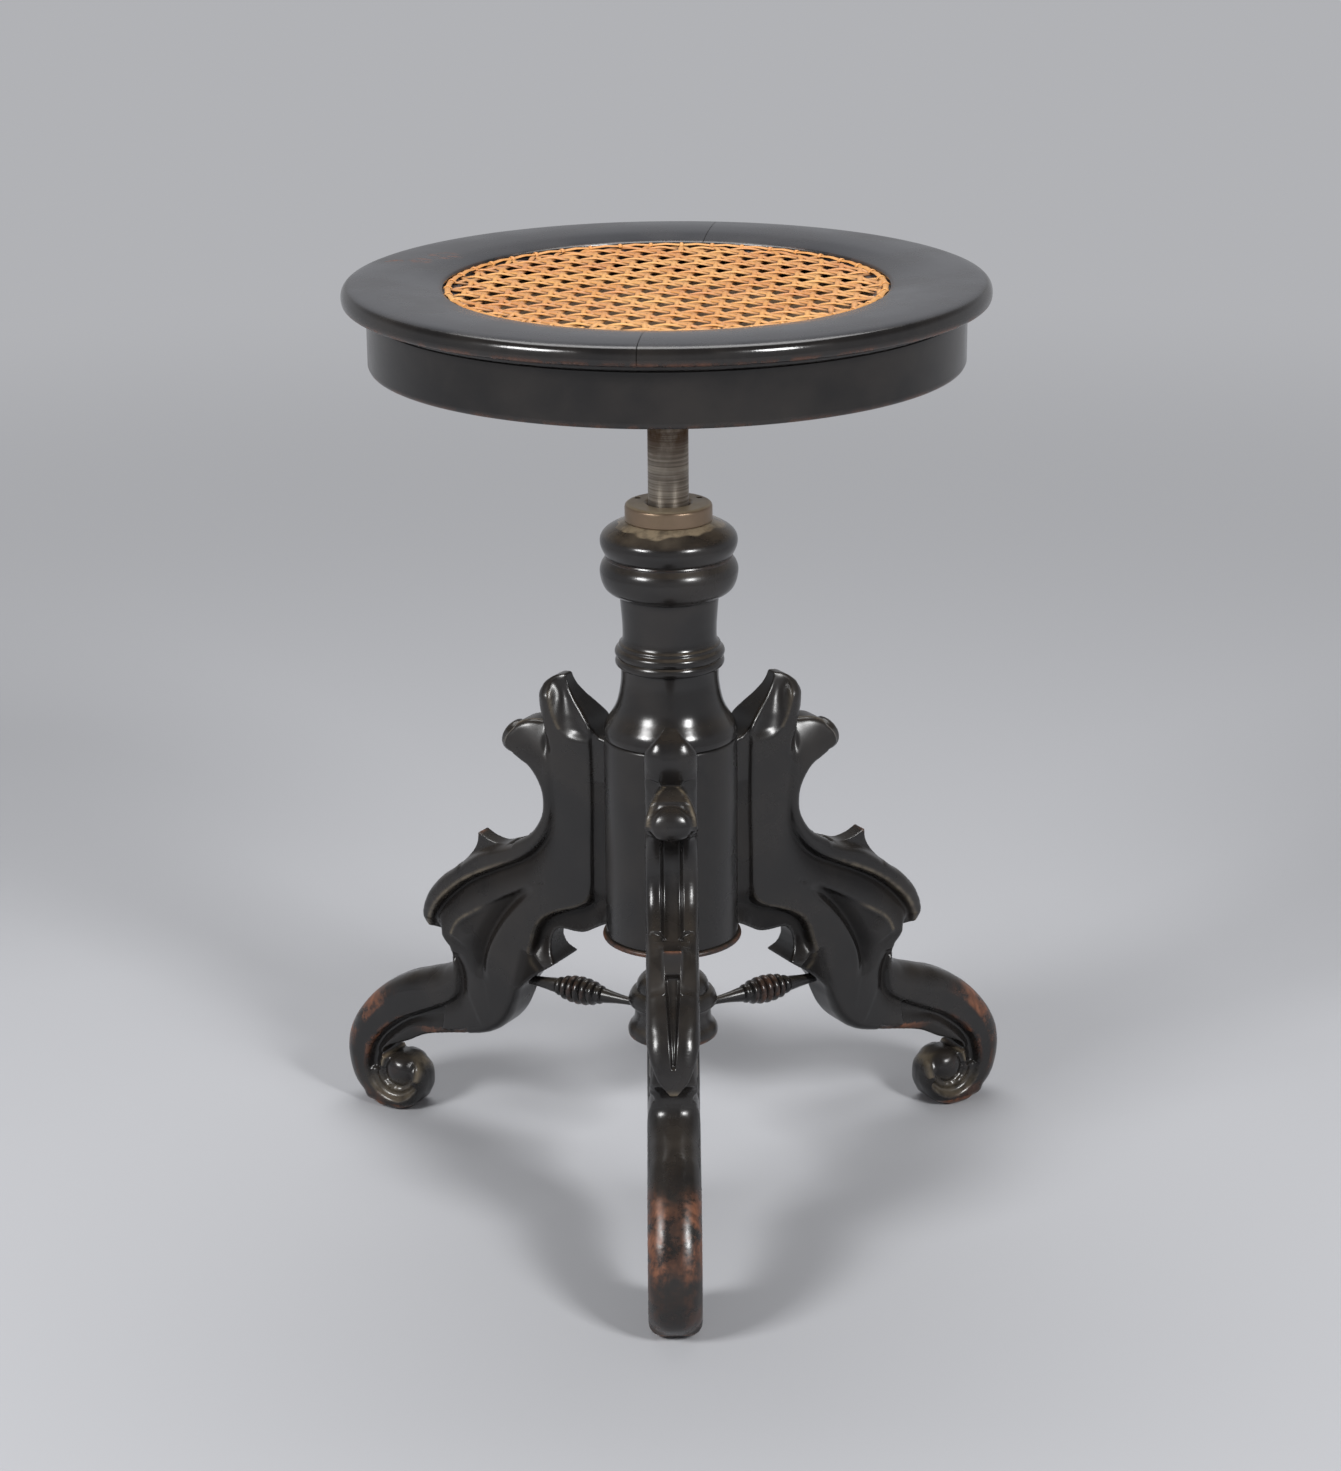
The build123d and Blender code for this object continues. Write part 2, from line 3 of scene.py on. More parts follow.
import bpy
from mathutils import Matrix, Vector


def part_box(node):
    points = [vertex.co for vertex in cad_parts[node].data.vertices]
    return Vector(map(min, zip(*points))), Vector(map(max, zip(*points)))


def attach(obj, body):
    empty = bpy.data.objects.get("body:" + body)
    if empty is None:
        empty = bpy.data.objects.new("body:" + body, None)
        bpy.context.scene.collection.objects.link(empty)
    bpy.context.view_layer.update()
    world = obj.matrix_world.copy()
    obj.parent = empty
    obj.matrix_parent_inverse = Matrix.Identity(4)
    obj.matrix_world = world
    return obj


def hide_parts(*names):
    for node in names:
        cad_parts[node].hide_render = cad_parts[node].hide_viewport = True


bl_info = {
    "name": "Revolving Piano Stool",
    "version": (1, 0, 0),
    "blender": (4, 5, 0),
    "location": "View3D > Sidebar > Stool",
    "description": "Carved, turned and caned pieces of a revolving piano stool",
    "category": "Object",
}

import bmesh
import bpy
import numpy as np
from bpy.props import FloatProperty, FloatVectorProperty, IntProperty, PointerProperty
from math import atan2, ceil, cos, pi, radians, sin, sqrt, tau
from mathutils import Matrix, Vector

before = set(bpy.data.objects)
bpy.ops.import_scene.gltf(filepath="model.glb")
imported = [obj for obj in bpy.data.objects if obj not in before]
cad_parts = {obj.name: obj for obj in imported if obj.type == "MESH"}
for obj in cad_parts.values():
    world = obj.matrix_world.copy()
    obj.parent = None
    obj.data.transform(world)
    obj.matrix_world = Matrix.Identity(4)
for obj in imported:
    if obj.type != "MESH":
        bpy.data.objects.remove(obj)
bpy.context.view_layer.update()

MM = 0.001
DRUM_LOW, DRUM_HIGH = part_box("column_drum")
AXIS_Y = (DRUM_LOW[1] + DRUM_HIGH[1]) / 2  # where the pillar stands, behind the origin
AXIS = Vector((0, AXIS_Y, 0))
LEGS = {"front": -90.0, "right": 30.0, "left": 150.0}
CANE_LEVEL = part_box("cane_panel")[0][2]
WELD = 0.00001


def heights(node):
    """The lowest and the highest level of a node, in millimetres."""
    low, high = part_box(node)
    return low[2] / MM, high[2] / MM


def length(name, description, default):
    return FloatProperty(
        name=name, description=description, default=default, subtype="DISTANCE", unit="LENGTH"
    )


def colour(name, description, *default):
    return FloatVectorProperty(
        name=name, description=description, default=default, subtype="COLOR", min=0, max=1
    )


class StoolSizes(bpy.types.PropertyGroup):
    """Sizes of the finish that the frame doesn't give."""

    cane_pitch: length("Cane pitch", "From one upright strand to the next", 11.65 * MM)
    cane_turn: FloatProperty(
        name="Cane turn", description="How far the caning is turned on the seat",
        default=radians(-5.6), subtype="ANGLE",
    )
    strand_width: length("Strand width", "Width of one strand of cane", 3.1 * MM)
    strand_thick: length("Strand thickness", "Thickness of one strand", 0.8 * MM)
    rim_holes: IntProperty(
        name="Rim holes", description="Holes that the strands end in", default=42, min=12
    )
    leg_half: length("Leg half thickness", "Half the thickness of a leg's plank", 14.4 * MM)
    carving_grain: length("Carving step", "Spacing of the points that the carving moves", 0.85 * MM)


class StoolColours(bpy.types.PropertyGroup):
    """Colours of the finishes."""

    ebony: colour("Ebonised wood", "Black stain over brown wood", 0.0085, 0.0078, 0.0078)
    worn: colour("Worn wood", "Wood where the stain has rubbed off", 0.135, 0.046, 0.019)
    dust: colour("Dust", "Grey-brown dust in hollows and on upper faces", 0.19, 0.155, 0.115)
    cane: colour("Cane", "Golden rattan", 0.62, 0.275, 0.074)
    steel: colour("Steel", "Turned steel of the spindle", 0.25, 0.22, 0.185)
    bronze: colour("Bronze", "Tarnished bronze of the collar", 0.27, 0.195, 0.135)
    floor: colour("Floor", "Plain pale floor", 0.44, 0.445, 0.465)


# ---- materials


class Finish:
    """The nodes of a material or of the world, and the few joins that the finishes use."""

    def __init__(self, name, home="materials", shader="Principled BSDF"):
        self.owner = getattr(bpy.data, home).new(name)
        self.owner.use_nodes = True
        self.nodes, self.links = self.owner.node_tree.nodes, self.owner.node_tree.links
        self.shader = self.nodes[shader]
        self.spaces = self.nodes.new("ShaderNodeTexCoord").outputs
        self.place = self.spaces["Object"]
        self.colours = bpy.context.scene.stool_colours

    def fill(self, node, inputs):
        for key, value in inputs.items():
            if hasattr(value, "links"):
                self.links.new(value, node.inputs[key])
            else:
                node.inputs[key].default_value = value

    def node(self, kind, inputs=None, **settings):
        node = self.nodes.new(kind)
        for key, value in settings.items():
            setattr(node, key, value)
        self.fill(node, inputs or {})
        return node

    def dress(self, **inputs):
        """Fills the shader's own sockets, named with _ for a space."""
        self.fill(self.shader, {key.replace("_", " "): value for key, value in inputs.items()})
        return self.owner

    def noise(self, scale, detail=4, rough=0.55, stretch=None):
        where = self.place
        if stretch:
            where = self.node("ShaderNodeMapping", {"Vector": where, "Scale": stretch}).outputs[0]
        inputs = {"Vector": where, "Scale": scale, "Detail": detail, "Roughness": rough}
        return self.node("ShaderNodeTexNoise", inputs).outputs[0]

    def ramp(self, value, low, high, start=0, end=1, curve="SMOOTHSTEP"):
        inputs = {"Value": value, "From Min": low, "From Max": high, "To Min": start, "To Max": end}
        return self.node("ShaderNodeMapRange", inputs, interpolation_type=curve).outputs[0]

    def math(self, operation, first, second, third=0, clamp=True):
        inputs = {0: first, 1: second, 2: third}
        return self.node("ShaderNodeMath", inputs, operation=operation, use_clamp=clamp).outputs[0]

    def mix(self, share, first, second):
        """Mixes colours: outputs of nodes, or three numbers."""
        first, second = (tint if hasattr(tint, "links") else (*tint, 1) for tint in (first, second))
        inputs = {0: share, 6: first, 7: second}
        return self.node("ShaderNodeMix", inputs, data_type="RGBA").outputs[2]

    def bump(self, height, distance, strength, **normal):
        inputs = {"Height": height, "Distance": distance, "Strength": strength, **normal}
        return self.node("ShaderNodeBump", inputs).outputs[0]

    def mask(self, name):
        return self.node("ShaderNodeAttribute", attribute_name=name).outputs["Fac"]

    def level(self, vector):
        return self.node("ShaderNodeSeparateXYZ", {0: vector}).outputs["Z"]

    def upward(self):
        return self.level(self.node("ShaderNodeNewGeometry").outputs["Normal"])

    def near(self, point, radius):
        """1 at a point of the object, falling to 0 at a radius with a ragged edge."""
        inputs, ragged = {0: self.place, 1: point}, 0.3
        gap = self.node("ShaderNodeVectorMath", inputs, operation="DISTANCE").outputs["Value"]
        edge = self.math("MULTIPLY_ADD", self.noise(60, 5), radius * ragged * 2, gap, clamp=False)
        return self.ramp(edge, radius * (0.75 + ragged), radius * (1.05 + ragged), 1, 0)


def ebonised(
    name, gloss, dusty=0.0, filmed=False, stretch=(1, 1, 0.12), satin=0.0, painted_sheen=0.0, scuffs=(), deep=0.0
):
    """Black-stained, polished wood: faint grain, rubbed edges, dust on upper faces."""
    f = Finish(f"ebonised {name}")
    grain, cloud, speck = f.noise(420, 3, 0.6, stretch), f.noise(24, 5), f.noise(260, 2)
    base = f.mix(f.ramp(cloud, 0.35, 0.7), f.colours.ebony, (0.017, 0.0145, 0.013))
    share = f.math("MULTIPLY", f.mask("wear"), f.ramp(f.noise(90, 5, 0.65), 0.38, 0.62))
    if scuffs:
        scratch = f.ramp(f.noise(260, 4, 0.7, (0.45, 1.6, 1)), 0.5, 0.56)
        for point, radius in scuffs:
            share = f.math("MAXIMUM", share, f.math("MULTIPLY", f.near(point, radius), scratch))
    tone = f.mix(f.ramp(grain, 0.3, 0.7), f.colours.worn, (0.27, 0.10, 0.045))
    if deep:
        tone = f.mix(deep, tone, (0.035, 0.014, 0.009))
    tint = f.mix(share, base, tone)
    if dusty:
        patchy = f.ramp(f.noise(38, 6, 0.6), 0.3, 0.75, 0.15, 1)
        lying = f.math("MULTIPLY", f.ramp(f.upward(), 0.35, 0.98), patchy)
        tint = f.mix(f.math("MULTIPLY", lying, dusty), tint, f.colours.dust)
    if filmed:
        film = f.math("MULTIPLY", f.mask("film"), f.ramp(f.noise(150, 5, 0.6), 0.3, 0.62, 0.25, 0.9))
        tint = f.mix(film, tint, (0.29, 0.235, 0.16))
        # Painted shade: the reflection is dimmed where the carving is cut deep.
        f.dress(Specular_IOR_Level=f.ramp(f.mask("painted_shade"), 0, 1, 0.5, 0.2))
    # Painted sheen: a blue-grey reflection painted into the colour of flat upward tops.
    if painted_sheen:
        tint = f.mix(f.ramp(f.upward(), 0.9, 1, 0, painted_sheen), tint, (0.14, 0.145, 0.165))
    rough = f.ramp(cloud, 0.3, 0.75, gloss, gloss + 0.1)
    if satin:
        rough = f.math("MULTIPLY_ADD", f.ramp(f.upward(), 0.8, 0.99), satin, rough)
    rough = f.math("MULTIPLY_ADD", share, 0.22, rough)
    relief = f.bump(speck, 0.00005, 0.35, Normal=f.bump(grain, 0.00006, 0.5))
    return f.dress(Base_Color=tint, Roughness=rough, Normal=relief, IOR=1.52)


def plain_wood(name):
    f = Finish(name)
    grain, cloud = f.noise(160, 4, 0.6, (1, 0.06, 1)), f.noise(18)
    tint = f.mix(f.ramp(grain, 0.3, 0.75), (0.30, 0.19, 0.10), (0.19, 0.115, 0.06))
    tint = f.mix(f.ramp(cloud, 0.35, 0.75, 0, 0.6), tint, (0.12, 0.075, 0.045))
    rough = f.ramp(grain, 0.2, 0.8, 0.62, 0.8)
    return f.dress(Base_Color=tint, Roughness=rough, Normal=f.bump(grain, 0.0002, 0.5))


def woven_cane(name):
    """Glossy golden strands, each a little different, with shade painted darker on their low parts in the
    crossings.
    """
    f = Finish(name)
    cloud, streak = f.noise(30), f.noise(700, 2)
    base = f.mix(f.ramp(f.mask("tone"), 0, 1), f.colours.cane, (0.56, 0.235, 0.085))
    base = f.mix(f.ramp(cloud, 0.35, 0.75, 0, 0.55), base, (0.74, 0.43, 0.15))
    # Painted shade: the strands are darker brown low down, under the crossings.
    painted_crossing_shade = f.ramp(f.level(f.place), CANE_LEVEL + 0.0002, CANE_LEVEL + 0.0019, 0.9, 0)
    base = f.mix(painted_crossing_shade, base, (0.10, 0.035, 0.012))
    base = f.mix(f.ramp(streak, 0.55, 0.85, 0, 0.35), base, (0.36, 0.17, 0.06))
    rough = f.ramp(cloud, 0.3, 0.7, 0.34, 0.48)
    return f.dress(Base_Color=base, Roughness=rough, Normal=f.bump(streak, 0.00004, 0.5))


def turned_steel(name):
    """Lathe-turned steel: fine rings round the axis, and brown stains, most of them high up."""
    f = Finish(name)
    rings, cloud = f.noise(900, 3, 0.7, (0.02, 0.02, 1)), f.noise(60, 5, 0.6, (1, 1, 0.6))
    tint = f.mix(f.ramp(rings, 0.3, 0.7), f.colours.steel, (0.6, 0.54, 0.46))
    high = f.ramp(f.level(f.place), 0.425, 0.452)
    stain = f.math("MULTIPLY", f.ramp(cloud, 0.35, 0.62), f.math("ADD", high, 0.25))
    rough = f.math("MULTIPLY_ADD", stain, 0.25, f.ramp(rings, 0.2, 0.8, 0.5, 0.56))
    round_axis = f.node("ShaderNodeTangent", direction_type="RADIAL", axis="Z").outputs[0]
    return f.dress(
        Base_Color=f.mix(stain, tint, (0.115, 0.062, 0.03)), Metallic=0.85, Roughness=rough,
        Normal=f.bump(rings, 0.00006, 0.6), Anisotropic=0.9, Anisotropic_Rotation=0.25, Tangent=round_axis,
    )


def old_bronze(name):
    """Tarnished bronze with dust lying on its upper face."""
    f = Finish(name)
    cloud, fine = f.noise(70, 6, 0.6), f.noise(500, 3, 0.6, (1, 1, 0.3))
    tint = f.mix(f.ramp(cloud, 0.35, 0.7), f.colours.bronze, (0.25, 0.185, 0.125))
    film = f.math("MULTIPLY", f.ramp(f.upward(), 0.5, 0.95), f.ramp(f.noise(120, 5), 0.3, 0.6, 0.7, 1))
    return f.dress(
        Base_Color=f.mix(film, tint, (0.36, 0.30, 0.21)), Metallic=f.ramp(film, 0, 1, 0.85, 0.1),
        Roughness=f.ramp(cloud, 0.3, 0.7, 0.3, 0.42), Normal=f.bump(fine, 0.00008, 0.5),
    )


def cast_iron(name):
    f = Finish(name)
    cloud = f.noise(40)
    return f.dress(
        Base_Color=f.mix(f.ramp(cloud, 0.4, 0.7), (0.035, 0.032, 0.03), (0.075, 0.045, 0.028)),
        Metallic=0.7, Roughness=f.ramp(cloud, 0.3, 0.7, 0.5, 0.68),
        Normal=f.bump(f.noise(420, 5, 0.6), 0.0003, 0.6),
    )


# ---- making pieces


def drawn(points, corners=(), step=1.0):
    """A smooth line through points (Catmull-Rom), broken at the corners, as an array."""
    points = [np.array(point, float) for point in points]
    breaks = sorted({0, len(points) - 1, *corners})
    line = []
    for start, end in zip(breaks, breaks[1:]):
        run = points[start : end + 1]
        run = [2 * run[0] - run[1], *run, 2 * run[-1] - run[-2]]
        for a, b, c, d in zip(run, run[1:], run[2:], run[3:]):
            count = max(2, ceil(np.linalg.norm(c - b) / step))
            t = np.arange(count)[:, None] / count
            bend = (2 * a - 5 * b + 4 * c - d) * t**2 + (3 * b - a - 3 * c + d) * t**3
            line.append(((2 * b) + (c - a) * t + bend) / 2)
    return np.vstack([*line, points[-1][None]])


def raised(base, *points):
    """Points whose heights are given from a base."""
    return [(r, base + z) for r, z in points]


def linked(name, data):
    item = bpy.data.objects.new(name, data)
    bpy.context.scene.collection.objects.link(item)
    return item


def placed(bm, name):
    """Makes a bmesh an object of the scene."""
    mesh = bpy.data.meshes.new(name)
    bm.to_mesh(mesh)
    bm.free()
    return linked(name, mesh)


def finished(bm, name, body, material, nodes, sharp=40.0):
    """Turns a bmesh into a smooth-shaded piece that rides on a body."""
    piece = placed(bm, name)
    piece.data.materials.append(material)
    piece.data.shade_smooth()
    if sharp:
        piece.data.set_sharp_from_angle(angle=radians(sharp))
    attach(piece, body)
    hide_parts(*nodes)
    return piece


def apply_modifiers(piece):
    """Makes what the modifiers give the piece's own mesh."""
    shown = piece.evaluated_get(bpy.context.evaluated_depsgraph_get())
    mesh = bpy.data.meshes.new_from_object(shown)
    piece.modifiers.clear()
    piece.data = mesh


def outline(bm, line, azimuth=0.0):
    """Draws a line of (radius, height), in millimetres; one that starts on the axis stays open."""
    turn = radians(azimuth)
    verts = [bm.verts.new((r * MM * cos(turn), AXIS_Y + r * MM * sin(turn), z * MM)) for r, z in line]
    last = verts[:1] if line[0][0] > 0 else []
    return verts, [bm.edges.new(pair) for pair in zip(verts, verts[1:] + last)]


def revolve(bm, geom, steps, cent=AXIS, axis=(0, 0, 1)):
    bmesh.ops.spin(bm, geom=geom, cent=cent, axis=axis, angle=tau, steps=steps, use_merge=True)
    bmesh.ops.remove_doubles(bm, verts=bm.verts, dist=WELD)
    bmesh.ops.recalc_face_normals(bm, faces=bm.faces)


def turned(line, steps):
    """A solid turned from a closed line, or from one that runs from the axis to the axis."""
    bm = bmesh.new()
    verts, edges = outline(bm, line)
    revolve(bm, verts + edges, steps)
    return bm


def set_mask(piece, name, values):
    layer = piece.data.attributes.new(name, "FLOAT", "POINT")
    layer.data.foreach_set("value", np.asarray(values, np.float32))


def coordinates(mesh):
    co = np.empty(len(mesh.vertices) * 3)
    mesh.vertices.foreach_get("co", co)
    return co.reshape(-1, 3)


def polar(piece):
    """Radius, height and azimuth of each point of a piece about the pillar's axis."""
    x, y, z = (coordinates(piece.data) / MM).T
    y = y - AXIS_Y / MM
    return np.hypot(x, y), z, np.arctan2(y, x)


def bell(value, width):
    """1 at 0, falling to 0 on both sides of it."""
    return np.exp(-((value / width) ** 2))


def ease(value, low, high):
    """Rises softly from 0 at low to 1 at high."""
    t = np.clip((value - low) / (high - low), 0, 1)
    return t * t * (3 - 2 * t)


# ---- seat


def turn_seat_ring():
    floor, top = heights("seat_ring_left")
    rim, lip, joint_gap, joint_bevel = 175.0, 121.4, 0.035, 0.00018
    section = raised(
        floor, (112, 0), (rim - 2, 0), (rim - 0.6, 1.2), (rim, 3.8), (rim - 0.4, 6.6), (rim - 1.6, 8.6)
    ) + raised(
        top, (rim - 3.6, -1.1), (rim - 8.5, -0.35), (rim - 22, -0.03), (rim - 36, -0.7), (rim - 46, -2),
        (121.6, -3.4), (120.5, -4.4),
    ) + raised(CANE_LEVEL / MM, (120.2, 0), (112, 0))
    line = drawn(section, corners=(0, 1, 12, 13, 14), step=1.6)
    scuffs = [((-0.123, 0.068), 0.010), ((-0.136, 0.053), 0.008), ((-0.150, 0.051), 0.006)]
    # The seat ring's flat top gets a painted blue-grey sheen.
    wood = ebonised(
        "seat", gloss=0.12, satin=0.1, painted_sheen=0.24, deep=0.6,
        scuffs=[((x, AXIS_Y + y, top * MM), radius) for (x, y), radius in scuffs],
    )
    for side, joint, arc in (("right", -95.0, 175.0), ("left", 80.0, 185.0)):
        bm = bmesh.new()
        verts, edges = outline(bm, line, joint + joint_gap)
        face = bm.faces.new(verts)
        bmesh.ops.spin(
            bm, geom=verts + edges + [face], cent=AXIS, axis=(0, 0, 1),
            angle=radians(arc - 2 * joint_gap), steps=96,
        )
        bmesh.ops.recalc_face_normals(bm, faces=bm.faces)
        rims = [edge for f in bm.faces if len(f.verts) > 4 for edge in f.edges]
        bmesh.ops.bevel(
            bm, geom=rims, offset=joint_bevel, segments=1, profile=0.5, affect="EDGES", material=-1
        )
        piece = finished(bm, f"seat_ring_{side}_wood", "seat", wood, [f"seat_ring_{side}"])
        radius, z, _ = polar(piece)
        lower = bell(radius - rim + 1.2, 1.6) * bell(z - floor - 0.8, 1.3)
        set_mask(piece, "wear", np.clip(lower * 0.9 + bell(radius - lip, 1) * 0.25, 0, 1))


class STOOL_OT_seat_ring(bpy.types.Operator):
    """Turn the two halves of the seat ring"""

    bl_idname = "stool.seat_ring"
    bl_label = "Seat ring"

    def execute(self, context):
        turn_seat_ring()
        return {"FINISHED"}


class STOOL_OT_apron(bpy.types.Operator):
    """Turn the apron with its small bead"""

    bl_idname = "stool.apron"
    bl_label = "Seat apron"

    def execute(self, context):
        floor, top = heights("seat_apron")
        inner, wall = 153.3, 161.8
        section = [(inner, top), (inner, floor), (wall - 2.2, floor), (wall - 0.7, floor + 0.6)]
        section += [(wall, floor + 2.2)] + raised(
            top, (wall, -5.2), (wall - 0.5, -4.7), (wall + 0.9, -4), (wall + 1.9, -2.4), (wall + 1.8, -1),
            (wall + 1.1, -0.05),
        )
        line = drawn(section, corners=(0, 1, 2, 4, 5, 6, 10), step=1.2)
        wood = ebonised("apron", gloss=0.16, stretch=(1, 1, 0.5), deep=0.4)
        piece = finished(turned(line, 192), "seat_apron_wood", "seat", wood, ["seat_apron"])
        radius, z, _ = polar(piece)
        set_mask(piece, "wear", bell(radius - wall + 1.2, 1.5) * bell(z - floor - 0.8, 1.2) * 0.55)
        return {"FINISHED"}


def weave_cane(context):
    sizes = context.scene.stool_sizes
    pitch, width, thick, holes = sizes.cane_pitch, sizes.strand_width, sizes.strand_thick, sizes.rim_holes
    middle = Vector((-0.0402, AXIS_Y + 0.0265, 0))
    rim, level = 0.1178, CANE_LEVEL + 0.0009
    shortest, bend, dip = 0.014, 0.02, 0.0012  # a strand's least half, and where and how far it bends
    border_wide, loop_wide, loop_half, loop_rise = 0.0031, 0.0022, 0.0021, 0.0014
    random = np.random.default_rng(7)
    tones = []
    weave = bpy.data.curves.new("weave", "CURVE")
    weave.dimensions = "3D"
    weave.twist_mode = "Z_UP"
    weave.bevel_mode = "OBJECT"
    shape = [(-0.5, 0), (-0.36, 0.75), (0, 1), (0.36, 0.75), (0.5, 0), (0, -0.1)]

    def spline(curve, path, closed):
        """Adds a line through points of three numbers to a curve."""
        made = curve.splines.new("POLY")
        made.points.add(len(path) - 1)
        made.points.foreach_set("co", [n for point in path for n in (*point, 1)])
        made.use_cyclic_u = closed
        return made

    section = bpy.data.curves.new("strand section", "CURVE")
    spline(section, [(x * width, y * thick, 0) for x, y in shape], True)
    weave.bevel_object = profile = linked("strand section", section)

    def strand(path, wide, tone, closed=False):
        """A flat strand with a crowned top along a path of (x, y, z)."""
        spline(weave, path, closed).points.foreach_set("radius", [wide / width] * len(path))
        tones.extend([tone] * (len(path) * len(shape)))

    def to_hole(point):
        """From a point near the rim to the nearest hole."""
        spot = round(atan2(point.y - AXIS_Y, point.x) / tau * holes) * tau / holes
        return Vector((rim * cos(spot), AXIS_Y + rim * sin(spot), 0)) - Vector((point.x, point.y, 0))

    def run(turn, offset, wide, height, tone):
        """One strand across the seat: straight, bending to a rim hole at each end."""
        along = Vector((cos(turn), sin(turn), 0))
        start = middle + Vector((-sin(turn), cos(turn), 0)) * offset
        reach = start - AXIS
        lies = reach.dot(along)
        half = rim**2 - (reach.length_squared - lies**2)
        if half <= shortest**2:
            return
        low, high = -lies - sqrt(half), -lies + sqrt(half)
        pulls = [to_hole(start + along * s) for s in (low, high)]
        count = max(8, ceil((high - low) / (pitch / 6)))
        path = []
        for i in range(count + 1):
            s = low + (high - low) * i / count
            near = [max(0.0, 1 - gap / bend) ** 1.5 for gap in (s - low, high - s)]
            point = start + along * s + pulls[0] * near[0] + pulls[1] * near[1]
            path.append((point.x, point.y, level + height(s / pitch) - max(near) ** 3 * dip))
        strand(path, wide, tone)

    # In pitches from a hole: uprights and levels lie halfway between the holes, and the slants
    # pass where those cross. Levels pass over uprights at every second crossing.
    turn = sizes.cane_turn
    count = int(rim / pitch) + 3
    for k in range(-count, count + 1):
        rise = -thick if k % 2 else thick
        tone = random.uniform(0, 1)
        for way, offset, lift in ((turn + pi / 2, -(k + 0.5), rise), (turn, k + 0.5, -rise)):
            run(way, offset * pitch, width * random.uniform(0.86, 1.0),
                lambda s, lift=lift: lift * sin(pi * s), tone)
    slant = pitch * sqrt(2)
    for k in range(-count, count + 1):
        tone = random.uniform(0.3, 1.3)
        for way, lift in ((turn + pi / 4, -0.55 * thick), (turn - pi / 4, 0.55 * thick)):
            run(way, (k + 0.5) * slant, width * random.uniform(0.95, 1.1),
                lambda s, lift=lift: lift * cos(pi * s / sqrt(2)) ** 2, tone)
    around = 4 * holes
    border = []
    for i in range(around):
        spot = i / around * tau
        wobble = 0.00035 * cos(holes * spot)
        wide = rim + wobble * 0.4
        border.append((wide * cos(spot), AXIS_Y + wide * sin(spot), level + 0.0009 - wobble))
    strand(border, border_wide, 0.2, closed=True)
    for i in range(holes):
        spot = i / holes * tau
        out = Vector((cos(spot), sin(spot), 0))
        loop = []
        for j in range(7):
            t = j / 6 * 2 - 1
            x, y, _ = AXIS + out * (rim + t * loop_half)
            loop.append((x, y, level + 0.0017 - loop_rise * t * t))
        strand(loop, loop_wide, random.uniform(0, 0.6))
    laid = linked("weave", weave)
    shown = laid.evaluated_get(context.evaluated_depsgraph_get())
    bm = bmesh.new()
    bm.from_mesh(bpy.data.meshes.new_from_object(shown))
    bpy.data.objects.remove(laid)
    bpy.data.objects.remove(profile)
    open_ends = [edge for edge in bm.edges if edge.is_boundary]
    bmesh.ops.holes_fill(bm, edges=open_ends, sides=len(shape))
    bmesh.ops.recalc_face_normals(bm, faces=bm.faces)
    if len(bm.verts) != len(tones):
        raise RuntimeError(f"the weave has {len(bm.verts)} points, not {len(tones)}")
    piece = finished(
        bm, "woven_cane", "seat", woven_cane("woven cane"), ["cane_panel", "cane_binder"], 60
    )
    set_mask(piece, "tone", tones)


class STOOL_OT_caning(bpy.types.Operator):
    """Weave the cane: two crossing pairs, two diagonals, and the border strand with its loops"""

    bl_idname = "stool.caning"
    bl_label = "Woven cane"

    def execute(self, context):
        weave_cane(context)
        return {"FINISHED"}


# ---- pillar


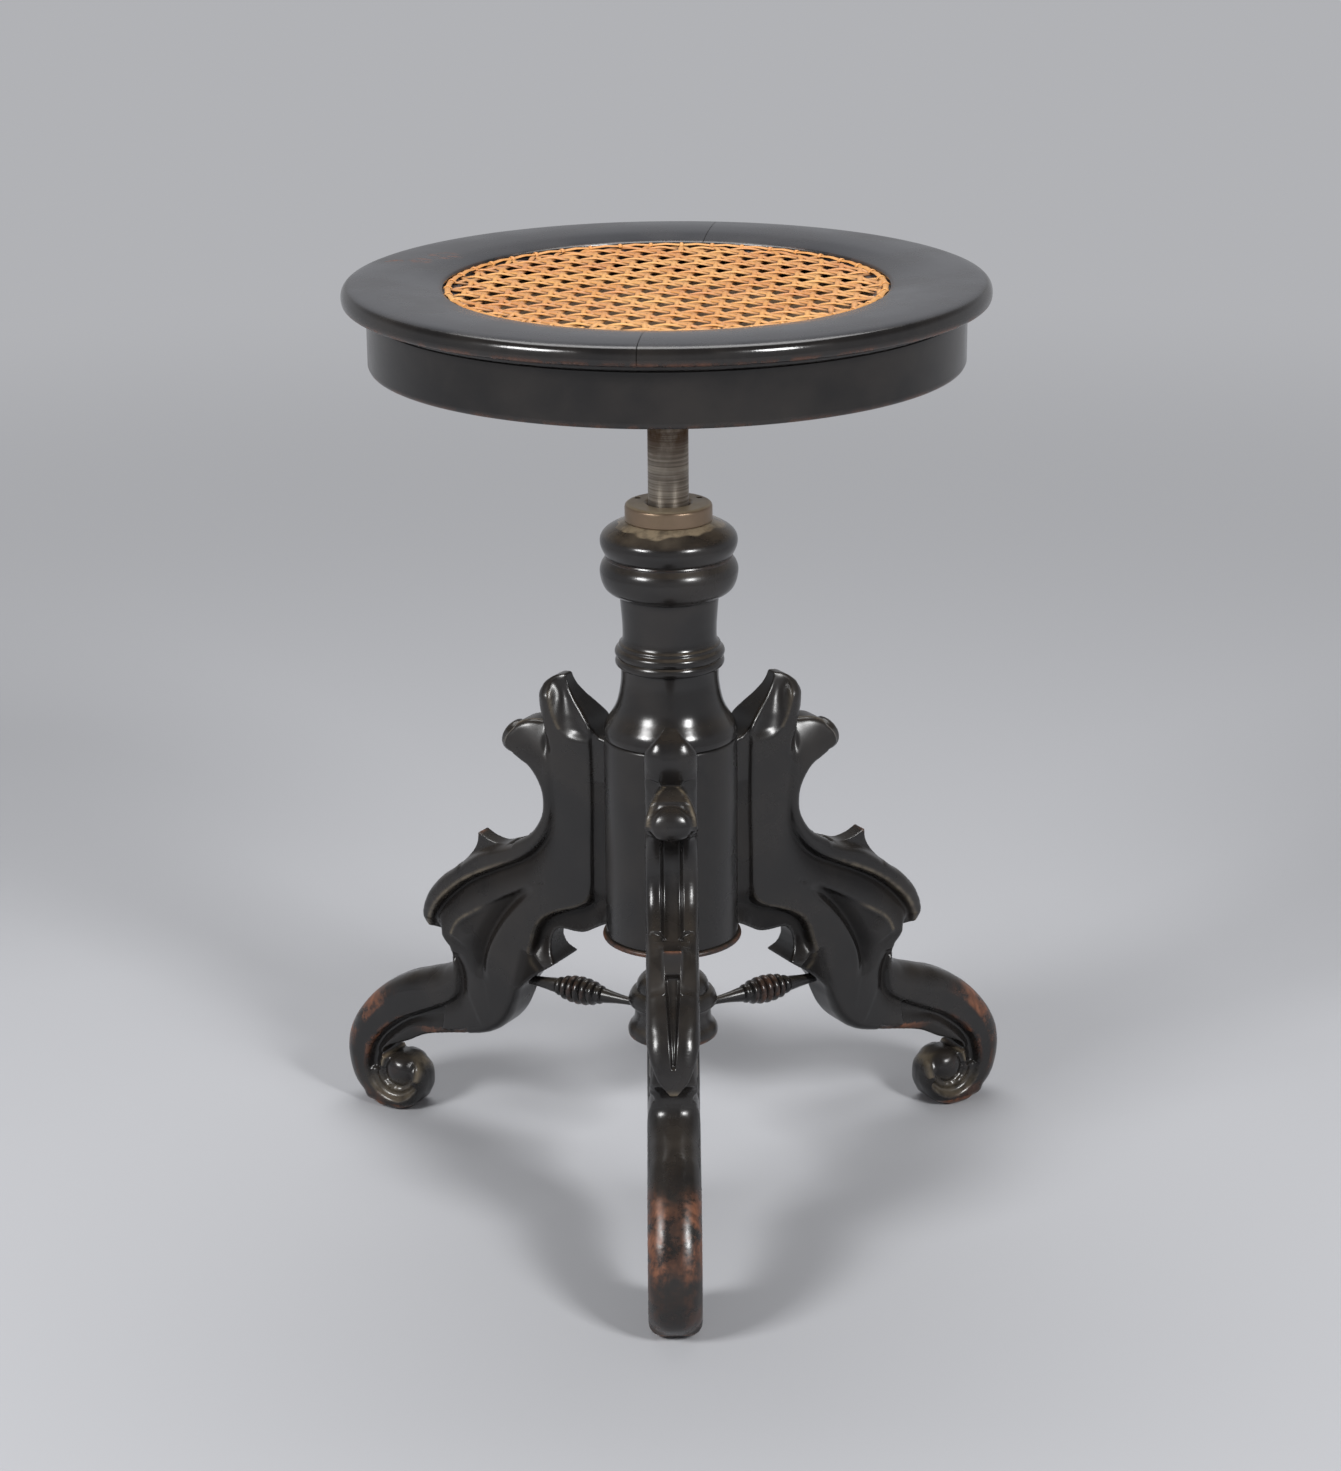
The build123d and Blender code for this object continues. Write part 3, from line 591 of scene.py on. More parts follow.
def turn_pillar():
    low, foot = heights("column_drum")
    top = heights("column_vase")[1]
    profile = raised(
        foot,
        (14.6, -15.9), (23.9, -15.9), (23.9, 0), (36.9, 0), (37.3, 0.6), (37.5, 2.2), (37.3, 4.4),
        (36.2, 7.8), (34.1, 11.4), (31.8, 15.2), (30.1, 18.9), (29, 22.8), (28, 28), (27.4, 33),
        (27.3, 37), (27.5, 40.6), (27.9, 41.2), (28.9, 41.4), (30.2, 42.6), (30.5, 44.2), (30, 45.8),
        (29.2, 46.7), (30.2, 47.5), (30.75, 49.4), (30.2, 51.2), (29, 52.3), (28.5, 53), (28.3, 54.3),
        (27.3, 55), (26.5, 56.6), (26.2, 59), (26.3, 65), (26.7, 71), (27.2, 77), (27.55, 80.5),
        (27.6, 81.9), (29.4, 83), (33, 84.6), (35.8, 87), (37.4, 90.4), (38.2, 94), (38.35, 97.2),
        (37.5, 100.2), (35.9, 102.6), (35.1, 103.7), (35.35, 104.5), (35, 105.2), (36.2, 107),
        (37.7, 110.4), (38.1, 113.4), (37.4, 116.4), (35.2, 119), (31.6, 121.2), (28, 122.9),
    ) + raised(top, (24.2, 0), (17, 0), (17, -16), (14.6, -16))
    corners = (0, 1, 2, 3, 16, 21, 26, 28, 35, 45, 46, 54, 55, 56, 57)
    wood = ebonised("vase", gloss=0.18, dusty=0.45, filmed=True)
    vase = turned(drawn(profile, corners, step=0.9), 160)
    piece = finished(vase, "vase_wood", "base", wood, ["column_vase"])
    radius, z, around = polar(piece)
    ragged = 29.8 + 1.2 * np.sin(around * 3 + 1) + 0.9 * np.sin(around * 7 + 2) + 0.5 * np.sin(around * 17)
    set_mask(piece, "film", np.clip((ragged - radius) / 0.8 + 0.5, 0, 1) * (z - foot > 118))
    set_mask(piece, "wear", bell(z - foot - 104.5, 0.7) * 0.08)

    drum = raised(low, (14.6, 0), (36.9, 0), (37.6, 0.7)) + raised(
        foot, (37.6, -1.9), (37.5, -1.3), (37.2, -0.75), (36.75, -0.4), (36.1, -0.15), (24, -0.15),
        (24, -16), (14.6, -16),
    )
    finished(turned(drum, 160), "drum_wood", "base", ebonised("drum", gloss=0.26), ["column_drum"])

    disc = raised(low, (0, -3), (38.2, -3), (39.2, -2.6), (39.6, -1.6), (39.2, -0.5), (38.4, 0), (0, 0))
    wood = ebonised("disc", gloss=0.3, dusty=0.2)
    disc = turned(drawn(disc, (0, 1, 5, 6), 0.6), 128)
    piece = finished(disc, "base_disc_wood", "base", wood, ["column_base_disc"])
    set_mask(piece, "wear", np.clip((polar(piece)[0] - 38) / 1.2, 0, 1) * 0.4)


class STOOL_OT_pillar(bpy.types.Operator):
    """Turn the vase, the drum and the base disc"""

    bl_idname = "stool.pillar"
    bl_label = "Turned pillar"

    def execute(self, context):
        turn_pillar()
        return {"FINISHED"}


class STOOL_OT_collar(bpy.types.Operator):
    """Turn the bronze collar and sink its two spanner holes"""

    bl_idname = "stool.collar"
    bl_label = "Guide collar"

    def execute(self, context):
        floor, top = heights("column_vase")[1], heights("guide_collar")[1]
        hole_out, hole_radius = 0.0192, 0.0017
        section = raised(
            floor, (11.3, -15.8), (16.9, -15.8), (16.9, 0.02), (23.6, 0.02), (24.2, 0.7)
        ) + raised(
            top, (24.2, -2.3), (23.9, -1.2), (23.1, -0.45), (21.9, -0.05), (13.4, 0), (12.9, -0.2),
            (11.3, -1.9),
        )
        bm = turned(drawn(section, corners=(0, 1, 2, 3, 4, 5, 8, 9, 10, 11), step=0.5), 128)
        bronze = old_bronze("old bronze")
        collar = finished(bm, "collar_bronze", "base", bronze, ["guide_collar"], 35)
        drill = bmesh.new()
        for azimuth in (radians(28), radians(152)):
            spot = (hole_out * cos(azimuth), AXIS_Y + hole_out * sin(azimuth), top * MM)
            bmesh.ops.create_cone(
                drill, cap_ends=True, segments=24, radius1=hole_radius, radius2=hole_radius, depth=0.006,
                matrix=Matrix.Translation(spot),
            )
        cutter = placed(drill, "drill")
        cut = collar.modifiers.new("spanner holes", "BOOLEAN")
        cut.object = cutter
        cut.operation = "DIFFERENCE"
        apply_modifiers(collar)
        bpy.data.objects.remove(cutter)
        collar.data.set_sharp_from_angle(angle=radians(35))
        return {"FINISHED"}


class STOOL_OT_spindle(bpy.types.Operator):
    """Finish the spindle tube and the ironwork that the frame gives"""

    bl_idname = "stool.spindle"
    bl_label = "Spindle and ironwork"

    def execute(self, context):
        low, high = heights("spindle_tube")
        section = [(8.65, low), (10.8, low), (11.25, low + 0.5), (11.25, high), (8.65, high)]
        steel = turned_steel("turned steel")
        finished(turned(section, 96), "spindle_steel", "seat", steel, ["spindle_tube"])
        kept = {
            cast_iron("cast iron"): ("seat_spider", "screw_foot_plate"),
            steel: ("spider_screws", "foot_screws", "lift_screw", "stop_nut"),
            old_bronze("nut bronze"): ("lift_nut",),
            plain_wood("plain wood"): ("seat_board", "glue_blocks", *(f"dowels_{side}" for side in LEGS)),
        }
        for material, nodes in kept.items():
            for node in nodes:
                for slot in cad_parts[node].material_slots:
                    slot.material = material
        return {"FINISHED"}


# ---- stretchers


def turn_stretchers():
    floor = heights("stretcher_hub")[0]
    height = floor + 13.5
    rings, bulb_start, bulb_end = 7, 46.5, 78.0
    pitch = (bulb_end - bulb_start) / rings
    line = [(13, 0), (13, 2.3), (27, 2.3), (36, 2.9), (43.5, 4), (bulb_start - 0.4, 4.4)]
    corners = [0, 1, 5]
    for i in range(rings):
        crest = 3.6 + 4.7 * sin(pi * (i + 0.75) / (rings + 0.5)) ** 0.75
        corners.append(len(line))
        for share, drop in ((0, 1.5), (0.22, 0.35), (0.5, 0), (0.78, 0.35)):
            line.append((bulb_start + i * pitch + pitch * share, crest - drop))
    corners.append(len(line))
    line += [(bulb_end, 4.5), (bulb_end + 3.5, 4.1), (88, 3.3), (96.5, 2.75), (106, 2.7), (106, 0)]
    corners += [len(line) - 2, len(line) - 1]
    smooth = drawn(line, corners, step=0.45)
    wood = ebonised("stretchers", gloss=0.24, dusty=0.25, stretch=None)
    for side, azimuth in LEGS.items():
        turn = radians(azimuth)
        out = Vector((cos(turn), sin(turn), 0))
        bm = bmesh.new()
        verts = [bm.verts.new(AXIS + out * (x * MM) + Vector((0, 0, (height + r) * MM))) for x, r in smooth]
        edges = [bm.edges.new(pair) for pair in zip(verts, verts[1:])]
        revolve(bm, verts + edges, 40, AXIS + Vector((0, 0, height * MM)), out)
        piece = finished(bm, f"stretcher_{side}_wood", "base", wood, [f"stretcher_{side}"])
        co = coordinates(piece.data) - np.array([0, AXIS_Y, height * MM])
        r = np.sqrt(np.maximum((co**2).sum(1) - (co @ np.array(out)) ** 2, 0)) / MM
        set_mask(piece, "wear", np.clip((r - 6.5) / 2, 0, 1) * 0.3)

    hub = raised(
        floor,
        (0, 0), (24.4, 0), (25.4, 0.6), (25.9, 2.4), (25.8, 4.2), (25, 6), (23.3, 8), (22.3, 10.2),
        (21.9, 13.5), (22.1, 16.5), (22.7, 18.4), (24.8, 19.6), (25.4, 20.6), (25.5, 21.8),
        (25.2, 23.4), (24.6, 25), (23.4, 26.9), (22.4, 27.7), (20.9, 28.3), (20.9, 29.4), (20.5, 31.4),
        (19.4, 33.7), (16.8, 36.2), (12, 37.6), (6, 38), (0, 38),
    )
    bm = turned(drawn(hub, (0, 1, 10, 17, 18, 25), 0.8), 112)
    wood = ebonised("hub", gloss=0.24, dusty=0.35)
    piece = finished(bm, "hub_wood", "base", wood, ["stretcher_hub"])
    set_mask(piece, "wear", bell(polar(piece)[1] - floor - 1, 1.2) * 0.5)


class STOOL_OT_stretchers(bpy.types.Operator):
    """Turn the three ringed stretchers and the hub"""

    bl_idname = "stool.stretchers"
    bl_label = "Stretchers and hub"

    def execute(self, context):
        turn_stretchers()
        return {"FINISHED"}


# ---- legs

# The template of a leg: (out from the pillar's axis, up from the floor) in millimetres, all
# the way round, with a third number at its sharp corners.
LEG_OUTLINE = [
    (34.5, 150.5, 1), (34.5, 261, 1), (40.5, 262.8, 1), (44.4, 266.2), (48.6, 271.8), (53.6, 276.9),
    (58.6, 281.3), (63, 286.4), (65.4, 290.4), (66.4, 294.2, 1), (71.5, 293.3), (76.2, 290.8),
    (80.2, 286.6), (82.2, 281.4), (82.1, 276), (80.8, 270.2), (78.6, 264.2, 1), (83, 264.8), (88.2, 264.9),
    (93.6, 263.6), (98.8, 260.4), (102.8, 255.8), (104.4, 250.6), (103.6, 247), (100.4, 245), (94.8, 242.2),
    (86.4, 236.4), (80.6, 227.6), (78.6, 218.4), (80, 208.5), (86.4, 198), (94.6, 191.6), (103.2, 186.8),
    (111.6, 183.8), (119.4, 184.8), (124.2, 186.8), (127.8, 188.8, 1), (128.6, 181.6), (133, 174.2),
    (141.6, 165.4), (150.4, 158.8), (159.4, 149.2), (164.8, 139), (166.8, 129.4), (167, 121.4, 1),
    (161.4, 121.2), (155.6, 121.2), (150, 119.2), (146.6, 113.6), (146.4, 107.2), (149.4, 101.6),
    (156.8, 97.4), (166.8, 93.8), (184, 87), (199.2, 77.4), (212.2, 64.4), (221.4, 49.8), (224.5, 37.4),
    (224.1, 24.4), (219.4, 11.4), (211, 3.2), (206, 1.4), (197, 0.1), (188, 0.1), (180.6, 2), (175.2, 6.6),
    (171.8, 13.2), (171, 20.4), (172.8, 27.4), (177.6, 32.6), (184.2, 34.8), (190.6, 34), (195.6, 32.4, 1),
    (197.8, 34.6), (197.2, 37.6), (191.6, 41.6), (181.2, 45.4), (173.4, 49.8), (164.4, 54), (148.4, 58.2),
    (136.4, 60.6), (122.8, 63.8), (112.4, 69), (104.4, 78.2), (99.8, 88.4), (97.2, 96.8), (92, 103.4),
    (85.8, 108.4), (71.6, 118.6, 1), (76, 123.6), (77.4, 129.6), (76.2, 135.2), (72.4, 138.6), (61, 138.8),
    (54.4, 140), (48, 143.6), (40, 148.4),
]
LEG_LINE = [point[:2] for point in LEG_OUTLINE]
# How round the plank's edges are worked: (out, up, radius) at places round the template.
EDGE_ROUNDS = [
    (34, 150, 1), (34, 262, 1), (44.6, 266, 0.6), (53, 276, 0.6), (58, 281, 0.6), (63, 287, 0.6),
    (66, 292, 0.7), (66.4, 294, 0.8), (71.4, 293.5, 3), (77, 290, 7), (81, 285, 9.5), (82, 278, 10.5),
    (81, 271, 10), (78.6, 264.6, 6), (84, 265, 6.5), (92, 264.5, 7), (99.4, 260.3, 6.5), (103.5, 255, 5),
    (105, 250, 3.6), (100.4, 245.2, 2.6), (94.8, 242.6, 3), (86, 236, 4.2), (79, 219, 4.4), (86, 198, 4.4),
    (96, 190.5, 4.4), (104, 188, 4.4), (112, 184.4, 2), (125.4, 187.6, 1.2), (128, 184, 2), (133, 174, 4.6),
    (141, 166, 5.4), (150, 159, 6.2), (159, 149, 7.4), (165, 139, 8), (167, 129, 6), (167, 121.4, 3),
    (158, 121.2, 3), (150, 119, 4), (146.6, 112, 7), (149, 104, 11.5), (157, 99, 13), (168, 96, 12.5),
    (184, 88, 11), (208, 70, 10.5), (223, 46, 10.5), (224, 22, 11), (217, 7, 11.5), (207, 1.4, 7.5),
    (197, 0.1, 4.5), (187, 0.1, 4.5), (180, 2, 7), (172, 9, 11), (169, 20, 12.5), (173, 31, 12.5),
    (184, 36, 10), (191, 34.4, 6.5), (197, 34, 2), (190, 42, 1.6), (172, 50, 2), (148, 58, 2.2),
    (123, 63, 4.6), (112, 69, 5.6), (104, 79, 5.6), (98, 92, 4.6), (90, 104, 2), (82, 110, 1.2),
    (69.8, 118.4, 0.8), (75.4, 128, 0.8), (71, 138.6, 1), (61, 139, 1.4), (48, 143, 2),
]
# Lines of the relief on a leg's cheek.
STRIP = drawn([
    (45.2, 256), (45, 237), (45.1, 213), (45.5, 189), (45.8, 172), (47.2, 166), (50.4, 161.4), (56, 158),
    (64.6, 154.6), (73.7, 150.5), (80.7, 145.2), (84.9, 138.2), (87.2, 130.3), (89.4, 123), (90, 116),
    (87.5, 110),
])
LEAF_CREST = drawn([
    (71.5, 293.6), (73.2, 289.5), (72.4, 284.5), (70.9, 278), (69.2, 272.5), (66.4, 266.4), (62.4, 261.6),
])
LEAF_ARRIS = drawn([
    (66.4, 294.2), (63, 286.4), (58.6, 281.3), (53.6, 276.9), (48.6, 271.8), (44.4, 266.2), (43, 261.5),
])
LEAF_VALLEY = drawn([(79.2, 265.5), (77, 257.5), (75.4, 249.5), (73.2, 240)])
LOBE_EDGE = drawn([(105, 248.6), (100.4, 245), (94.8, 242.2), (86.4, 236.4), (82, 230.5)])
BAND_CREST = drawn([
    (75.2, 247), (75, 236), (74.2, 225.1), (73.7, 215.5), (75.2, 205.5), (79.6, 196.2), (86.8, 187.6),
    (96.2, 180.6), (107.3, 174.9), (119.6, 168.8), (131.3, 162.2), (141.3, 154.7), (150.4, 145.9),
    (157.2, 137.2), (163, 128), (167, 121.4),
])
RIDGE = drawn([
    (84, 166.5), (90.5, 163.4), (98.3, 158.6), (108.1, 153), (119.4, 146.5), (127.9, 141.1), (136.5, 135.3),
    (141.2, 130), (143.6, 124.6),
])
SHOULDER = drawn([
    (76.1, 170.1), (84.4, 164.9), (92.8, 159), (99.8, 153.3), (106.2, 146.4), (111.2, 139.8),
    (115.2, 133.6), (118.9, 126.9), (121.8, 120.2), (123.4, 113.4), (123.6, 106.6), (121.8, 100.5),
    (119, 94),
])
ANKLE = drawn([(143.6, 124.6), (138.4, 121.5), (132.8, 118), (127.6, 114.1), (123.4, 110.2)])
BEVEL = drawn([(93.6, 125.4), (95.4, 119.7), (97.3, 111.9), (99.6, 103.9), (102.6, 96)])
FOOT_BAND = drawn([
    (143.6, 105.6), (141.6, 100.4), (140.9, 93), (142.2, 86.8), (146.4, 82.2), (157.2, 75.8), (170, 69.4),
    (182.9, 62.7), (192.2, 55.8), (199.8, 48.5), (205.4, 39.9), (208.2, 29.8), (207.8, 21.1), (205, 14.6),
    (200.2, 9.6), (193.8, 6.6), (186.6, 6), (180, 8), (175, 12.4),
])
COVE_SILL = drawn([
    (123, 70), (138.9, 63.6), (149.7, 61.4), (162.3, 59.8), (173.1, 57.8), (181.6, 52.6), (189, 46.6),
    (194, 41.6), (197.6, 35.6),
])
SPUR = drawn([
    (101, 186.8), (106.5, 184.2), (112, 182), (118, 180), (124.6, 177), (131, 172.8), (138, 167.4),
])
BAY_CHANNEL = drawn([
    (97.5, 243.6), (86.4, 236.4), (78.6, 218.4), (86.4, 198), (94.6, 191.6), (103.2, 186.8),
])
KNEE_CHANNEL = drawn([(133, 174.2), (141.6, 165.4), (150.4, 158.8), (159.4, 149.2), (165, 139)])
STRIP_EDGE = np.array(LEG_LINE[-9:])
LOBE_TOP = drawn(LEG_LINE[16:21])
INSTEP = [(152, 118), (143, 104)]
BALL = (186.6, 24.6, 10.2)
LOBE_BALL_UP = 250.2
LOBE_BALL_RADIUS = 11.0
OUTER_EDGE = 2.2  # how far from the template a point still lies on the plank's edge


def away(points, line):
    """How far each point is from a line, and how far along the line it is nearest."""
    best = np.full(len(points), 1e9)
    along = np.zeros(len(points))
    steps = np.hypot(*np.diff(line, axis=0).T)
    done = 0.0
    for start, end, step in zip(line[:-1], line[1:], steps):
        way = (end - start) / max(step, 1e-9)
        t = np.clip((points - start) @ way, 0, step)
        gap = np.hypot(*(points - start - t[:, None] * way).T)
        closer = gap < best
        best = np.where(closer, gap, best)
        along = np.where(closer, done + t, along)
        done += step
    return best, along / done


def inside(points, *lines):
    """Whether each point is inside the closed line that the lines make one after the other."""
    line = np.vstack(lines)
    x, y = points.T
    within = np.zeros(len(points), bool)
    for (x0, y0), (x1, y1) in zip(line, np.roll(line, -1, axis=0)):
        crosses = (y0 > y) != (y1 > y)
        if crosses.any():
            at = (x1 - x0) * (y - y0) / (y1 - y0 + 1e-12) + x0
            within ^= crosses & (x < at)
    return within


def across(gap, rest):
    """How far a point is on its way from one line to another, from 0 to 1."""
    return gap / (gap + rest + 1e-6)


def fade(value, length):
    """1 up to 0, and from there falling off over a length."""
    return np.exp(-np.maximum(value, 0) / length)


def carve(points):
    """How deep the cheek is cut at each point, how worn and how dusty it is there, and how much shade is
    painted there by dimming its reflection.
    """
    r, z = points.T

    def deeper(where, cut):
        return np.where(where, np.maximum(depth, cut), depth)

    # The outer band stands over a hollow that rises to a ridge.
    gap, along = away(points, BAND_CREST)
    below = inside(points, BAND_CREST, INSTEP, FOOT_BAND[:1], [(120, 60), (20, 60), (20, 300), (70, 300)])
    deep = (1.8 + 5 * ease(along, 0.12, 0.5)) * (1 - 0.75 * ease(along, 0.12, 0))
    hollow = deep * ease(gap, 0.2, 3.4) * fade(gap - 3.4, 10)
    outside = np.minimum(0.16 * np.maximum(gap - 1.5, 0), 2.2) * ease(along, 0.3, 0.45) * (z > 118)
    depth = np.where(below, hollow, outside)
    dust = bell(gap, 1.1) * ease(along, 0.42, 0.6) * 0.45

    # Beyond the ridge a second hollow deepens to the foot of the shoulder, a soft roll.
    to_ridge, on_ridge = away(points, RIDGE)
    to_shoulder, on_shoulder = away(points, SHOULDER)
    to_ankle, _ = away(points, ANKLE)
    heel = [(136, 72), (117, 80)]
    ankle = below & inside(points, RIDGE, INSTEP, FOOT_BAND[3:4], heel, SHOULDER[::-1])
    leaf = inside(points, RIDGE, ANKLE, SHOULDER[::-1])
    fold = 7 * ease(on_shoulder, 0.02, 0.38) * (1 - ease(on_shoulder, 0.72, 1))
    beyond = 3 * ease(to_ankle, 0, 1.6) * fade(to_ankle, 9) * ease(z, 84, 100)
    level = np.where(leaf, 1.6 + 1.4 * ease(to_ankle, 3, 12), beyond)
    floor = np.maximum(fold * fade(to_shoulder, 9), level * ease(to_ridge, 0, 3.4))
    depth = np.where(ankle, np.maximum(floor, depth * (1 - ease(to_ridge, 0, 5))), depth)
    depth = deeper(below & ~ankle & (r + 0.9 * z < 240), fold * (1 - ease(to_shoulder, 0, 6.5)))
    dust = np.maximum(dust, bell(to_ridge, 0.8) * 0.35 * ease(on_ridge, 0.5, 0.7))

    # The sunk strip beside the drum widens into the cove round the hook.
    gap, along = away(points, STRIP)
    rest, place = away(points, STRIP_EDGE)
    low_side = inside(points, STRIP, [(60, 100), (20, 140), (20, 270), (45.2, 270)])
    hook = ease(z, 172, 156)
    edge = np.interp(place, [0, 0.1, 0.22, 0.34, 0.45, 0.7, 0.86, 1], [1.6, 4.6, 6.6, 8.2, 8.6, 8, 6.4, 3])
    share = across(gap, rest)
    cove = (7.2 + (edge - 7.2) * ease(share, 0.3, 1)) * ease(gap, 0, 3) + 0.8 * np.sin(pi * share)
    cove *= 1 - 0.85 * ease(along, 0.86, 0.97)
    sunk = (1 - hook) * 2.8 * ease(gap, 0, 1) + hook * np.maximum(cove, 0)
    depth = np.where(low_side, np.maximum(sunk, depth * (1 - hook)), depth)
    dust = np.maximum(dust, bell(gap, 0.9) * hook * 0.2)

    # The leaf: a scooped flute between its crest and a sharp inner arris.
    to_crest, _ = away(points, LEAF_CREST)
    to_arris, _ = away(points, LEAF_ARRIS)
    scoop = inside(points, LEAF_CREST, [(58, 258.5), (48, 257.5)], LEAF_ARRIS[::-1])
    scoop |= (to_arris < 1.2) & (z > 262)
    peak = np.interp(z, [280, 283, 286.6, 290.5, 294.5], [0, 0.6, 3.4, 7, 10.8])
    thin = np.interp(z, [259, 262, 266, 272, 281, 287, 292, 295], [0, 0.5, 1.4, 3.2, 7.4, 9.6, 10.6, 11])
    share = across(to_crest, to_arris)
    flute = peak + np.maximum(thin - peak, 0) * share**0.6
    flute += 2.6 * np.sin(pi * np.minimum(share / 0.9, 1)) ** 0.8 * ease(z, 258.5, 265) * ease(z, 292, 282)
    depth = deeper(scoop, flute)
    depth = deeper(~scoop & (z > 279) & (r > 60), peak)
    dust = np.maximum(dust, bell(to_crest, 0.7) * (z > 264) * (z < 286) * 0.25)

    # The lobe narrows in a pointed arch, and a valley runs down between leaf and lobe.
    to_low, _ = away(points, LOBE_EDGE)
    to_top, _ = away(points, LOBE_TOP)
    arch = np.interp(r, [77, 82, 88, 94, 99, 103, 105], [8.6, 7.4, 5.6, 3.8, 2, 0.7, 0])
    depth = deeper((z > 229) & (r > 76.5) & (z < 268), arch * across(to_low, to_top) ** 2)
    gap, along = away(points, LEAF_VALLEY)
    depth = deeper(z > 236, 5.5 * bell(gap, 2 + 2.5 * along) * (1 - ease(along, 0.35, 1)))

    # The bevel between the hook and the heel.
    gap, _ = away(points, BEVEL)
    under = inside(points, BEVEL, [(98, 92), (85, 100), (78, 112), (90, 122)])
    depth = deeper(under, 0.7 * gap * ease(z, 94, 102))

    # The toe: a band round a cove that winds down into the scroll.
    to_foot, on_foot = away(points, FOOT_BAND)
    to_sill, _ = away(points, COVE_SILL)
    toe = inside(points, FOOT_BAND, [(176, 20), (184, 25), (196, 26), (197.6, 31)], COVE_SILL[::-1])
    x, y, ball = BALL
    off = np.hypot(r - x, z - y)
    turn = np.degrees(np.arctan2(z - y, r - x)) % 360
    inner = np.where(z < 35, np.abs(off - ball), to_sill)
    floor = 6.8 * ease(to_foot, 0, 3.4) * (1 - 0.5 * ease(across(to_foot, inner), 0.4, 1))
    floor *= 1 - 0.45 * ease(turn, 200, 300) * (z < 24)
    band = 4.2 * ease(to_foot, 0, 3.6)
    depth = np.where(toe, np.where(r < 152, band * fade(to_foot - 3.6, 9), floor), depth)
    depth = deeper(ankle & (z < 112), band * fade(to_foot - 3.6, 7))
    lower = ~toe & (r > 134) & (z < 66) & (z > 38) & (to_sill < to_foot)
    depth = deeper(lower, 2.6 + 0.4 * to_sill)
    wear = bell(to_foot, 1) * ease(on_foot, 0.3, 0.5) * (1 - ease(on_foot, 0.6, 0.75)) * 0.3
    wear += lower * (to_sill < 4) * bell(r - 153, 12) * 0.75
    dust = np.maximum(dust, toe * ease(z, 24, 12) * 0.25)

    # The ball in the scroll's eye, with a narrow moat over it.
    moat = 3 * bell(off - ball - 0.9, 1.1)
    moat *= np.where(turn > 270, ease(turn, 300, 330), 1 - ease(turn, 170, 215))
    eye = (off < 13.5) & ((turn < 215) | (turn > 300))
    depth = np.where(eye, np.maximum(depth * ease(off, ball, ball + 3.5), moat + 0.8), depth)
    dome = 0.4 + (ball - np.sqrt(np.maximum(ball**2 - off**2, 0))) * 0.66
    depth = np.where(off < ball, dome, depth)
    crescent = bell(off - ball - 2.6, 1.2) * (turn > 10) * (turn < 200) * 0.6
    # Painted shade: deeper cuts get a dimmer reflection, so that they look darker.
    shade = ease(depth, 0.6, 5) * ease(z, 60, 84) * (z < 236) * ~scoop
    return depth, np.clip(wear, 0, 1), np.clip(np.maximum(dust, crescent), 0, 1), shade


def edge_radius(points):
    """The rounding of the plank's edge that belongs to each point."""
    out, up, rounds = np.transpose(EDGE_ROUNDS)
    weight = 1 / np.maximum(np.hypot(points[:, :1] - out, points[:, 1:] - up), 0.5) ** 4
    return (weight * rounds).sum(1) / weight.sum(1)


def inward(points, edge):
    """The direction into the wood at the edge point nearest to each point."""
    way = np.roll(edge, -1, axis=0) - np.roll(edge, 1, axis=0)
    way /= np.hypot(*way.T)[:, None] + 1e-9
    found = np.zeros(len(points), int)
    batch = 4000
    for start in range(0, len(points), batch):
        block = points[start : start + batch]
        found[start : start + batch] = ((block[:, None] - edge[None]) ** 2).sum(2).argmin(1)
    return np.column_stack([way[:, 1], -way[:, 0]])[found]


def channel(points, middle, gap):
    """How deep the outer edge is cut: between its two beads, and round the ball under the lobe."""
    bay, _ = away(points, BAY_CHANNEL)
    knee, down = away(points, KNEE_CHANNEL)
    on_knee = knee < bay
    wide = np.where(on_knee, 3.5 - 2.6 * down, 5.3)
    groove = (1 - ease(middle, wide - 0.4, wide + 0.6)) * np.where(on_knee, 4.6 - 2.4 * down, 5.2)
    groove *= ease(np.minimum(bay, knee), 3, 1.6)
    groove = np.where((gap < OUTER_EDGE) & ((bay < 3) | (knee < 3)), groove, 0)
    r, z = points.T
    off = np.hypot((z - LOBE_BALL_UP) * 1.1, middle)
    facing = (gap < OUTER_EDGE) & (r > 97) & (z > 240) & (z < 262)
    swell = np.sqrt(np.maximum(LOBE_BALL_RADIUS**2 - off**2, 0)) * 0.4
    moat = bell(off - LOBE_BALL_RADIUS - 0.8, 1.1) * 1.2 + 0.8 * (off > LOBE_BALL_RADIUS + 0.8)
    return np.where(facing & (groove < 0.5), moat - swell, groove)


